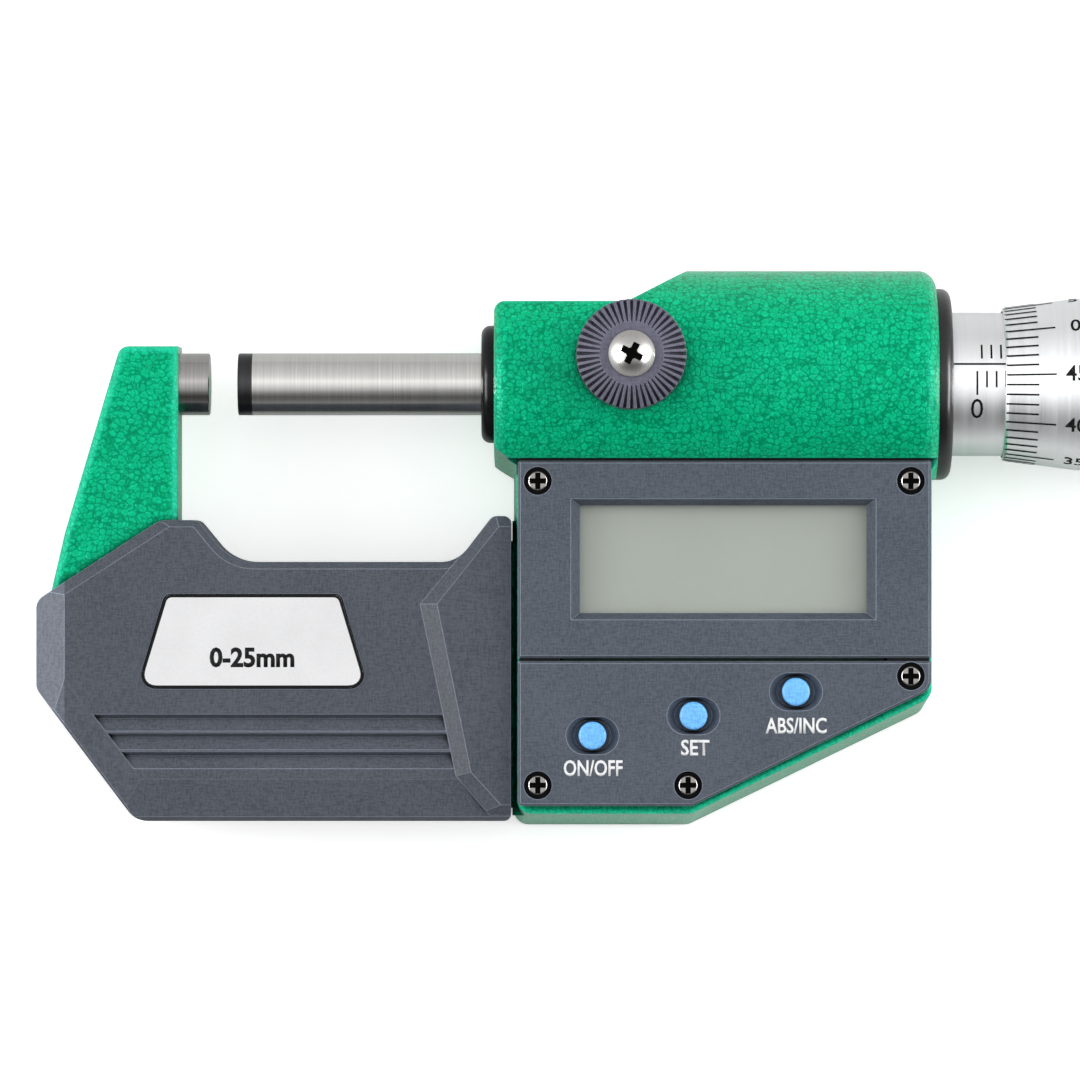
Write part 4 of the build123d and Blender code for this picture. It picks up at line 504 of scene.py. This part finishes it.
# Sleeve: a tube with a satin chrome finish, its scale engraved and filled in black.
# A long line runs along it, with whole millimetres below and halves above.
COLLAR_REAR = 77.4
ZERO_X = 79.9
SLEEVE_RADIUS = 7.5
SLEEVE_END = 107.4
DATUM_TILT = math.radians(15.2)
LINE_WIDTH = 0.20
MARK_THICKNESS = 0.03
LINE_CLEARANCE = 0.05
MILLIMETRES = range(26)
WHOLE_GAP = 0.75
WHOLE_LENGTH, FIFTH_LENGTH = 1.7, 2.5
HALF_GAP, HALF_LENGTH = 0.6, 1.6
NUMBER_ARC = 4.85
NUMBER_HEIGHT = 2.15
FIGURE_WIDTH, FIGURE_GAP = 1.27, 0.3
BEND_STEP = 0.3

satin_chrome = ground_metal("satin_chrome", (0.88, 0.89, 0.90), roughness=0.36,
                            streak_depth=0.04, fineness=2600.0, darkest=0.95)
for node in ("sleeve", "thimble", "ratchet_knob"):
    dress(node, satin_chrome)


def ink(name, colour, roughness=0.5, shine=0.3):
    paint, nodes, links, shader = new_finish(name)
    place = nodes.new("ShaderNodeTexCoord")
    mottle = use_effect(nodes, fine_grain, Fine=3000.0, Coarse=250.0, Clouds=0.5)
    tone = nodes.new("ShaderNodeValToRGB")
    tone.color_ramp.elements[0].position = 0.3
    tone.color_ramp.elements[0].color = (*[part * 0.88 for part in colour], 1)
    tone.color_ramp.elements[1].position = 0.7
    tone.color_ramp.elements[1].color = (*colour, 1)
    links.new(place.outputs["Object"], mottle.inputs["Vector"])
    links.new(mottle.outputs["Mottle"], tone.inputs["Fac"])
    links.new(tone.outputs["Color"], shader.inputs["Base Color"])
    shader.inputs["Roughness"].default_value = roughness
    shader.inputs["Specular IOR Level"].default_value = shine
    return paint


black_ink = ink("black_ink", (0.004, 0.004, 0.005), roughness=0.6, shine=0.1)


def flat_mark(x_low, x_high, arc, width):
    bpy.ops.object.select_all(action="DESELECT")
    bpy.ops.mesh.primitive_grid_add(x_subdivisions=1, y_subdivisions=3, size=1.0)
    mark = bpy.context.object
    mark.scale = ((x_high - x_low) * MM, width * MM, 1.0)
    mark.location = ((x_low + x_high) / 2 * MM, arc * MM, 0)
    bpy.ops.object.transform_apply(location=True, rotation=True, scale=True)
    return mark


LETTER_HEIGHT = 0.70


def flat_words(words, cap_height, width, x_mid, y_mid, bold=0.02):
    bpy.ops.object.select_all(action="DESELECT")
    bpy.ops.object.text_add()
    lettering = bpy.context.object
    lettering.data.body = words
    lettering.data.align_x = "CENTER"
    lettering.data.align_y = "CENTER"
    lettering.data.offset = bold
    lettering.data.resolution_u = 3
    bpy.ops.object.convert(target="MESH")
    stretch = cap_height * MM / LETTER_HEIGHT
    squeeze = width * MM / lettering.dimensions.x if width else stretch
    lettering.scale = (squeeze, stretch, 1.0)
    lettering.location = (x_mid * MM, y_mid * MM, 0)
    bpy.ops.object.transform_apply(location=True, rotation=True, scale=True)
    return lettering


def join_as(name, flat_pieces):
    bpy.ops.object.select_all(action="DESELECT")
    for flat in flat_pieces:
        flat.select_set(True)
    bpy.context.view_layer.objects.active = flat_pieces[0]
    bpy.ops.object.join()
    joined = bpy.context.object
    joined.name = name
    joined.data.name = name
    return joined


def cut_across(piece, pitch):
    bpy.ops.object.select_all(action="DESELECT")
    piece.select_set(True)
    bpy.context.view_layer.objects.active = piece
    low = min(point.co.y for point in piece.data.vertices)
    high = max(point.co.y for point in piece.data.vertices)
    bpy.ops.object.mode_set(mode="EDIT")
    for cut in range(1, int((high - low) / (pitch * MM)) + 1):
        bpy.ops.mesh.select_all(action="SELECT")
        bpy.ops.mesh.bisect(plane_co=(0, low + cut * pitch * MM, 0), plane_no=(0, 1, 0))
    bpy.ops.object.mode_set(mode="OBJECT")


def wrap_round(piece, radius_at, turn=0.0):
    for point in piece.data.vertices:
        radius = radius_at(point.co.x / MM) * MM
        angle = turn + point.co.y / radius
        point.co = (point.co.x, radius * math.sin(angle), radius * math.cos(angle))


def thicken(piece, thickness):
    bpy.ops.object.select_all(action="DESELECT")
    piece.select_set(True)
    bpy.context.view_layer.objects.active = piece
    skin = piece.modifiers.new("thickness", "SOLIDIFY")
    skin.thickness = thickness * MM
    skin.offset = 0.0
    bpy.ops.object.modifier_apply(modifier=skin.name)


def finish_marks(marks, paint, body):
    marks.data.materials.clear()
    marks.data.materials.append(paint)
    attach(marks, body)


def cross_line(x, arc, length):
    return flat_mark(x - LINE_WIDTH / 2, x + LINE_WIDTH / 2, arc, length)


datum_arc = DATUM_TILT * SLEEVE_RADIUS
sleeve_marks = [flat_mark(COLLAR_REAR + LINE_CLEARANCE, SLEEVE_END, datum_arc, LINE_WIDTH)]
for whole in MILLIMETRES:
    drop = FIFTH_LENGTH if whole % 5 == 0 else WHOLE_LENGTH
    sleeve_marks.append(cross_line(ZERO_X + whole, datum_arc - WHOLE_GAP - drop / 2, drop))
for half in MILLIMETRES:
    middle_arc = datum_arc + HALF_GAP + HALF_LENGTH / 2
    sleeve_marks.append(cross_line(ZERO_X + half + 0.5, middle_arc, HALF_LENGTH))
sleeve_scale = join_as("sleeve_scale_lines", sleeve_marks)
wrap_round(sleeve_scale, lambda x: SLEEVE_RADIUS)
thicken(sleeve_scale, MARK_THICKNESS)
sleeve_digits = []
for number in range(0, 30, 5):
    figures = len(str(number))
    number_width = FIGURE_WIDTH * figures + FIGURE_GAP * (figures - 1)
    sleeve_digits.append(flat_words(str(number), NUMBER_HEIGHT, number_width,
                                    ZERO_X + number, datum_arc - NUMBER_ARC, bold=0.0))
sleeve_numbers = join_as("sleeve_numbers", sleeve_digits)
cut_across(sleeve_numbers, BEND_STEP)
wrap_round(sleeve_numbers, lambda x: SLEEVE_RADIUS)
thicken(sleeve_numbers, MARK_THICKNESS)
finish_marks(sleeve_scale, black_ink, "frame")
finish_marks(sleeve_numbers, black_ink, "frame")

# Thimble: satin chrome too, with fifty engraved divisions round its cone.
# The reading shown is 2.96 mm, so the forty-sixth line is just under the sleeve's long line.
READING = 2.963
THIMBLE_FRONT = ZERO_X + READING
NOSE_RADIUS = 8.0
CONE_LENGTH = 7.7
BARREL_RADIUS = 9.0
PITCH = 0.5
DIVISIONS = 50
DIVISIONS_PER_MM = 100
DIVISION_ANGLE = math.radians(7.2)
LINE_START = 0.06
LONG_LINE_END, SHORT_LINE_END = 5.2, 3.4
THIMBLE_LINE_WIDTH = 0.18
FIGURE_PLACE = 7.3
FIGURE_HEIGHT = 1.6


def thimble_radius(x):
    along = min(max(x - THIMBLE_FRONT, 0.0), CONE_LENGTH)
    return NOSE_RADIUS + (BARREL_RADIUS - NOSE_RADIUS) * along / CONE_LENGTH


shown_divisions = (READING % PITCH) * DIVISIONS_PER_MM
thimble_marks = []
thimble_digits = []
for division in range(DIVISIONS):
    angle = DATUM_TILT + (division - shown_divisions) * DIVISION_ANGLE
    end = LONG_LINE_END if division % 5 == 0 else SHORT_LINE_END
    mark = flat_mark(THIMBLE_FRONT + LINE_START, THIMBLE_FRONT + end, 0.0, THIMBLE_LINE_WIDTH)
    wrap_round(mark, thimble_radius, angle)
    thimble_marks.append(mark)
    if division % 5 == 0:
        digits = flat_words(str(division), FIGURE_HEIGHT, None,
                            THIMBLE_FRONT + FIGURE_PLACE, 0.0, bold=0.012)
        cut_across(digits, BEND_STEP)
        wrap_round(digits, thimble_radius, angle)
        thimble_digits.append(digits)
thimble_scale = join_as("thimble_divisions", thimble_marks)
thicken(thimble_scale, MARK_THICKNESS)
thimble_numbers = join_as("thimble_numbers", thimble_digits)
thicken(thimble_numbers, MARK_THICKNESS)
finish_marks(thimble_scale, black_ink, "spindle")
finish_marks(thimble_numbers, black_ink, "spindle")

# Hand guards: two moulded shells of slate grey plastic that keep hand warmth off the bow.
# The faces have a fine woven grain; the edges and the left end are painted paler, as painted
# highlights.
GUARD_LEFT_BEVEL = -14.88

# Skin of the moulding: fine streaks along and across, as a spark-eroded mould leaves them.
brushed_skin, skin_in, skin_out = new_effect(
    "brushed_skin",
    [("Vector", "NodeSocketVector"), ("Along", "NodeSocketFloat"), ("Across", "NodeSocketFloat")],
    [("Skin", "NodeSocketFloat")],
)
skin_sum = brushed_skin.nodes.new("ShaderNodeMix")
for index, order in enumerate((("Along", "Across"), ("Across", "Along"))):
    skin_size = brushed_skin.nodes.new("ShaderNodeCombineXYZ")
    skin_place = brushed_skin.nodes.new("ShaderNodeVectorMath")
    skin_place.operation = "MULTIPLY"
    skin_noise = brushed_skin.nodes.new("ShaderNodeTexNoise")
    skin_noise.inputs["Scale"].default_value = 1.0
    skin_noise.inputs["Detail"].default_value = 2.0
    brushed_skin.links.new(skin_in.outputs[order[0]], skin_size.inputs["X"])
    brushed_skin.links.new(skin_in.outputs[order[1]], skin_size.inputs["Y"])
    brushed_skin.links.new(skin_in.outputs["Across"], skin_size.inputs["Z"])
    brushed_skin.links.new(skin_in.outputs["Vector"], skin_place.inputs[0])
    brushed_skin.links.new(skin_size.outputs["Vector"], skin_place.inputs[1])
    brushed_skin.links.new(skin_place.outputs["Vector"], skin_noise.inputs["Vector"])
    brushed_skin.links.new(skin_noise.outputs["Fac"], skin_sum.inputs["AB"[index]])
brushed_skin.links.new(skin_sum.outputs["Result"], skin_out.inputs["Skin"])


def moulded(name, colour, roughness, grain, edge_radius=0.12, edge_gain=0.95,
            darkest=0.05, shine=0.12, painted_light_x=None):
    plastic, nodes, links, shader = new_finish(name)
    place = nodes.new("ShaderNodeTexCoord")
    grains = use_effect(nodes, fine_grain, Fine=4200.0, Coarse=140.0, Clouds=0.25)
    weave = use_effect(nodes, brushed_skin, Along=1100.0, Across=6000.0)
    grain_share = 0.8
    darker, paler = 0.78, 1.22
    edge_highlight_gain, edge_highlight_lift = 3.6, 0.03
    both = nodes.new("ShaderNodeMath")
    both.operation = "MULTIPLY_ADD"
    both.inputs[1].default_value = grain_share
    tone = nodes.new("ShaderNodeValToRGB")
    tone.color_ramp.elements[0].position = 0.74
    tone.color_ramp.elements[0].color = (*[part * darker for part in colour], 1)
    tone.color_ramp.elements[1].position = 1.06
    tone.color_ramp.elements[1].color = (*[part * paler for part in colour], 1)
    edges = use_effect(nodes, soft_edges, Radius=edge_radius * MM)
    # Painted highlight: edges are painted paler than the face
    painted_edge_highlight = nodes.new("ShaderNodeMixRGB")
    painted_edge_highlight.inputs["Color2"].default_value = (*[part * edge_highlight_gain + edge_highlight_lift for part in colour], 1)
    edge_highlight_share = nodes.new("ShaderNodeMath")
    edge_highlight_share.operation = "MULTIPLY"
    edge_highlight_share.inputs[1].default_value = edge_gain
    # Painted shade: crevices darken the colour, down to darkest
    painted_hollow_shade = use_effect(nodes, painted_crevice_shade, Reach=0.6 * MM, Darkest=darkest)
    shaded = nodes.new("ShaderNodeVectorMath")
    shaded.operation = "SCALE"
    pebble = nodes.new("ShaderNodeBump")
    pebble.inputs["Strength"].default_value = grain
    pebble.inputs["Distance"].default_value = 0.00003
    links.new(place.outputs["Object"], grains.inputs["Vector"])
    links.new(place.outputs["Object"], weave.inputs["Vector"])
    links.new(grains.outputs["Mottle"], both.inputs[0])
    links.new(weave.outputs["Skin"], both.inputs[2])
    links.new(both.outputs["Value"], tone.inputs["Fac"])
    links.new(tone.outputs["Color"], painted_edge_highlight.inputs["Color1"])
    links.new(edges.outputs["Edge"], edge_highlight_share.inputs[0])
    links.new(edge_highlight_share.outputs["Value"], painted_edge_highlight.inputs["Fac"])
    links.new(painted_edge_highlight.outputs["Color"], shaded.inputs[0])
    links.new(painted_hollow_shade.outputs["Shade"], shaded.inputs["Scale"])
    links.new(shaded.outputs["Vector"], shader.inputs["Base Color"])
    links.new(grains.outputs["Grain"], pebble.inputs["Height"])
    links.new(edges.outputs["Normal"], pebble.inputs["Normal"])
    links.new(pebble.outputs["Normal"], shader.inputs["Normal"])
    shader.inputs["Roughness"].default_value = roughness
    shader.inputs["Specular IOR Level"].default_value = shine
    if painted_light_x is None:
        return plastic
    # Left of painted_light_x the colour is painted paler, a painted highlight on the left end
    left_end_highlight_gain = 1.75
    blend = 0.05
    along = nodes.new("ShaderNodeSeparateXYZ")
    left_end_highlight = nodes.new("ShaderNodeMapRange")
    left_end_highlight.inputs["From Min"].default_value = (painted_light_x - blend) * MM
    left_end_highlight.inputs["From Max"].default_value = (painted_light_x + blend) * MM
    left_end_highlight.inputs["To Min"].default_value = left_end_highlight_gain
    left_end_highlight.inputs["To Max"].default_value = 1.0
    lifted = nodes.new("ShaderNodeMath")
    lifted.operation = "MULTIPLY"
    links.new(place.outputs["Object"], along.inputs["Vector"])
    links.new(along.outputs["X"], left_end_highlight.inputs["Value"])
    links.new(painted_hollow_shade.outputs["Shade"], lifted.inputs[0])
    links.new(left_end_highlight.outputs["Result"], lifted.inputs[1])
    links.new(lifted.outputs["Value"], shaded.inputs["Scale"])
    return plastic


guard_plastic = moulded("guard_plastic", (0.072, 0.081, 0.101), roughness=0.5, grain=0.4,
                        painted_light_x=GUARD_LEFT_BEVEL)
dress("front_guard", guard_plastic)
dress("rear_guard", guard_plastic)

# Plate: thin white enamelled metal with a black border line, set in a shallow seat.
# Only the measuring range is printed on it.
PLATE_CORNERS = [(-7.3, -31.66), (16.65, -31.66), (-4.35, -22.0), (13.75, -22.0)]
LOWER_SETBACK = 2.0
UPPER_SETBACK = 0.62
PLATE_TOP = 6.65
BORDER_WIDTH = 0.26
PRINT_LIFT = 0.004
PRINT_THICKNESS = 0.01


def round_two_corners(piece, is_lower, setback):
    bpy.ops.object.mode_set(mode="EDIT")
    bpy.ops.mesh.select_mode(type="VERT")
    bpy.ops.mesh.select_all(action="DESELECT")
    bpy.ops.object.mode_set(mode="OBJECT")
    middle_y = (PLATE_CORNERS[0][1] + PLATE_CORNERS[2][1]) / 2 * MM
    for point in piece.data.vertices:
        point.select = (point.co.y < middle_y) == is_lower
    bpy.ops.object.mode_set(mode="EDIT")
    bpy.ops.mesh.bevel(offset=setback * MM, segments=6, affect="VERTICES")
    bpy.ops.object.mode_set(mode="OBJECT")


bpy.ops.object.select_all(action="DESELECT")
bpy.ops.mesh.primitive_plane_add(size=1.0)
plate_border = bpy.context.object
plate_border.name = "plate_border"
for point, (x, y) in zip(plate_border.data.vertices, PLATE_CORNERS):
    point.co = (x * MM, y * MM, (PLATE_TOP + PRINT_LIFT) * MM)
round_two_corners(plate_border, True, LOWER_SETBACK)
round_two_corners(plate_border, False, UPPER_SETBACK)
bpy.ops.object.mode_set(mode="EDIT")
bpy.ops.mesh.select_all(action="SELECT")
bpy.ops.mesh.inset(thickness=BORDER_WIDTH * MM)
bpy.ops.mesh.delete(type="FACE")
bpy.ops.object.mode_set(mode="OBJECT")
white_plate = ink("plate_white", (0.78, 0.78, 0.79), roughness=0.35)
dress("label_plate", white_plate)
thicken(plate_border, PRINT_THICKNESS)
finish_marks(plate_border, black_ink, "frame")
range_words = flat_words("0-25mm", cap_height=1.9, width=8.8,
                         x_mid=4.66, y_mid=-28.6, bold=0.035)
range_words.name = "plate_range"
for point in range_words.data.vertices:
    point.co.z = (PLATE_TOP + PRINT_LIFT) * MM
thicken(range_words, PRINT_THICKNESS)
finish_marks(range_words, black_ink, "frame")

# Panels over the electronics: satin slate plastic, the upper one framing the display.
# A cross-head screw on a black washer sits in a round recess at each of their five corners.
PANEL_CROSS_HEIGHTS = (8.44, 8.52)
panel_plastic = moulded("panel_plastic", (0.080, 0.094, 0.118), roughness=0.45, grain=0.25,
                        darkest=0.02)
dress("display_bezel", panel_plastic)
dress("keypad_panel", panel_plastic)


# Bright plated steel, painted black between two heights as painted shade down in the driver's
# recess
def recessed_steel(name, shine, heights, centre=None, reach=0.0):
    steel, nodes, links, shader = new_finish(name)
    place = nodes.new("ShaderNodeTexCoord")
    height = nodes.new("ShaderNodeSeparateXYZ")
    rise = nodes.new("ShaderNodeMapRange")
    rise.inputs["From Min"].default_value = heights[0] * MM
    rise.inputs["From Max"].default_value = heights[1] * MM
    tone = nodes.new("ShaderNodeValToRGB")
    tone.color_ramp.elements[0].color = (0.003, 0.003, 0.003, 1)
    tone.color_ramp.elements[1].color = (*shine, 1)
    specks = use_effect(nodes, fine_grain, Fine=2500.0, Coarse=500.0, Clouds=0.5)
    gloss = nodes.new("ShaderNodeMapRange")
    gloss.inputs["To Min"].default_value = 0.22
    gloss.inputs["To Max"].default_value = 0.34
    links.new(place.outputs["Object"], height.inputs["Vector"])
    links.new(place.outputs["Object"], specks.inputs["Vector"])
    links.new(height.outputs["Z"], rise.inputs["Value"])
    links.new(rise.outputs["Result"], tone.inputs["Fac"])
    links.new(tone.outputs["Color"], shader.inputs["Base Color"])
    links.new(specks.outputs["Mottle"], gloss.inputs["Value"])
    links.new(gloss.outputs["Result"], shader.inputs["Roughness"])
    shader.inputs["Metallic"].default_value = 1.0
    if centre is None:
        return steel
    # Only what lies near the middle is recess, as the domed head's rim is low too
    level = nodes.new("ShaderNodeVectorMath")
    level.operation = "MULTIPLY"
    level.inputs[1].default_value = (1.0, 1.0, 0.0)
    spread = nodes.new("ShaderNodeVectorMath")
    spread.operation = "DISTANCE"
    spread.inputs[1].default_value = (centre[0] * MM, centre[1] * MM, 0.0)
    outside = nodes.new("ShaderNodeMath")
    outside.operation = "GREATER_THAN"
    outside.inputs[1].default_value = reach * MM
    either = nodes.new("ShaderNodeMath")
    either.operation = "MAXIMUM"
    links.new(place.outputs["Object"], level.inputs[0])
    links.new(level.outputs["Vector"], spread.inputs[0])
    links.new(spread.outputs["Value"], outside.inputs[0])
    links.new(outside.outputs["Value"], either.inputs[0])
    links.new(rise.outputs["Result"], either.inputs[1])
    links.new(either.outputs["Value"], tone.inputs["Fac"])
    return steel


# The cross recess of each panel screw head is painted black, as painted shade
panel_screw_steel = recessed_steel(
    "panel_screw_steel", (0.30, 0.29, 0.28), PANEL_CROSS_HEIGHTS)
guard_screw_steel = ground_metal(
    "guard_screw_steel", (0.62, 0.62, 0.63), roughness=0.22, streak_depth=0.1)
dress("panel_screws", panel_screw_steel)
dress("guard_screws", guard_screw_steel)

# Display: a grey-green liquid crystal module, with a clear window on it behind the bezel.
# The instrument is switched off, so the module shows no segments.
lcd_grey, nodes, links, shader = new_finish("liquid_crystal")
place = nodes.new("ShaderNodeTexCoord")
haze = nodes.new("ShaderNodeTexNoise")
haze.inputs["Scale"].default_value = 40.0
tone = nodes.new("ShaderNodeValToRGB")
tone.color_ramp.elements[0].color = (0.335, 0.372, 0.322, 1)
tone.color_ramp.elements[1].color = (0.372, 0.409, 0.358, 1)
links.new(place.outputs["Object"], haze.inputs["Vector"])
links.new(haze.outputs["Fac"], tone.inputs["Fac"])
links.new(tone.outputs["Color"], shader.inputs["Base Color"])
shader.inputs["Roughness"].default_value = 0.6
shader.inputs["Specular IOR Level"].default_value = 0.2
dress("display_module", lcd_grey)
window_clear, nodes, links, shader = new_finish("window_clear")
place = nodes.new("ShaderNodeTexCoord")
smear = nodes.new("ShaderNodeTexNoise")
smear.inputs["Scale"].default_value = 60.0
gloss = nodes.new("ShaderNodeMapRange")
gloss.inputs["To Min"].default_value = 0.06
gloss.inputs["To Max"].default_value = 0.12
links.new(place.outputs["Object"], smear.inputs["Vector"])
links.new(smear.outputs["Fac"], gloss.inputs["Value"])
links.new(gloss.outputs["Result"], shader.inputs["Roughness"])
shader.inputs["Base Color"].default_value = (0.94, 0.97, 0.95, 1)
shader.inputs["Alpha"].default_value = 0.10
shader.inputs["Specular IOR Level"].default_value = 0.25
dress("display_window", window_clear)

# Push buttons: three light blue moulded caps in dished recesses, each kept in by its flange.
# What each does is printed on the panel in white, just below it.
button_blue = moulded("button_blue", (0.148, 0.470, 0.95), roughness=0.38, grain=0.12,
                      edge_radius=0.2, edge_gain=0.0, darkest=0.3, shine=0.35)
for cap in ("button_on_off", "button_set", "button_abs"):
    dress(cap, button_blue)
white_ink = ink("white_ink", (0.86, 0.87, 0.88))
PANEL_TOP = 9.0
button_words = [
    flat_words("ON/OFF", cap_height=1.585, width=6.1, x_mid=40.02, y_mid=-40.01),
    flat_words("SET", cap_height=1.57, width=2.95, x_mid=50.58, y_mid=-37.89),
    flat_words("ABS/INC", cap_height=1.57, width=6.32, x_mid=61.09, y_mid=-35.61),
]
panel_words = join_as("panel_words", button_words)
for point in panel_words.data.vertices:
    point.co.z = (PANEL_TOP + PRINT_LIFT) * MM
thicken(panel_words, PRINT_THICKNESS)
finish_marks(panel_words, white_ink, "frame")

# Lock knob: a ridged disc of slate plastic on the steel shaft that clamps the spindle.
# It is held by a pan-head screw with a deep cross recess.
LOCK_PLACE = (43.94, 2.84)
LOCK_CROSS_HEIGHTS = (17.75, 17.9)
LOCK_CROSS_REACH = 1.3
knob_plastic = moulded("knob_plastic", (0.102, 0.100, 0.144), roughness=0.5, grain=0.2,
                       edge_radius=0.07, edge_gain=0.5, darkest=0.35, shine=0.3)
# The lock screw's cross recess is painted black, as painted shade
pan_screw_steel = recessed_steel("pan_screw_steel", (0.50, 0.49, 0.47), LOCK_CROSS_HEIGHTS,
                                 LOCK_PLACE, LOCK_CROSS_REACH)
dress("lock_knob", knob_plastic)
dress("lock_knob_screw", pan_screw_steel)

# Inner pieces: circuit board, encoder discs, switches, brass nuts and holders, button cell.
# They are hidden in the closed instrument, and the black cap shuts the cell in from behind.
board_mask = ink("board_solder_mask", (0.02, 0.12, 0.05), roughness=0.35)
switch_black = ink("switch_black", (0.03, 0.03, 0.035), roughness=0.45)
turned_brass = ground_metal(
    "turned_brass", (0.72, 0.50, 0.20), roughness=0.3, streak_depth=0.3)
for node in ("circuit_board", "encoder_stator", "encoder_rotor"):
    dress(node, board_mask)
dress("key_switches", switch_black)
for node in ("spindle_nut", "adjusting_nut", "rotor_holder", "battery_contact"):
    dress(node, turned_brass)
cell_steel = ground_metal("cell_steel", (0.70, 0.70, 0.70), roughness=0.2, streak_depth=0.1)
cap_black = black_finish("cap_black", roughness=0.45, coat=0.0, speckle=0.3)
dress("battery", cell_steel)
dress("battery_cap", cap_black)
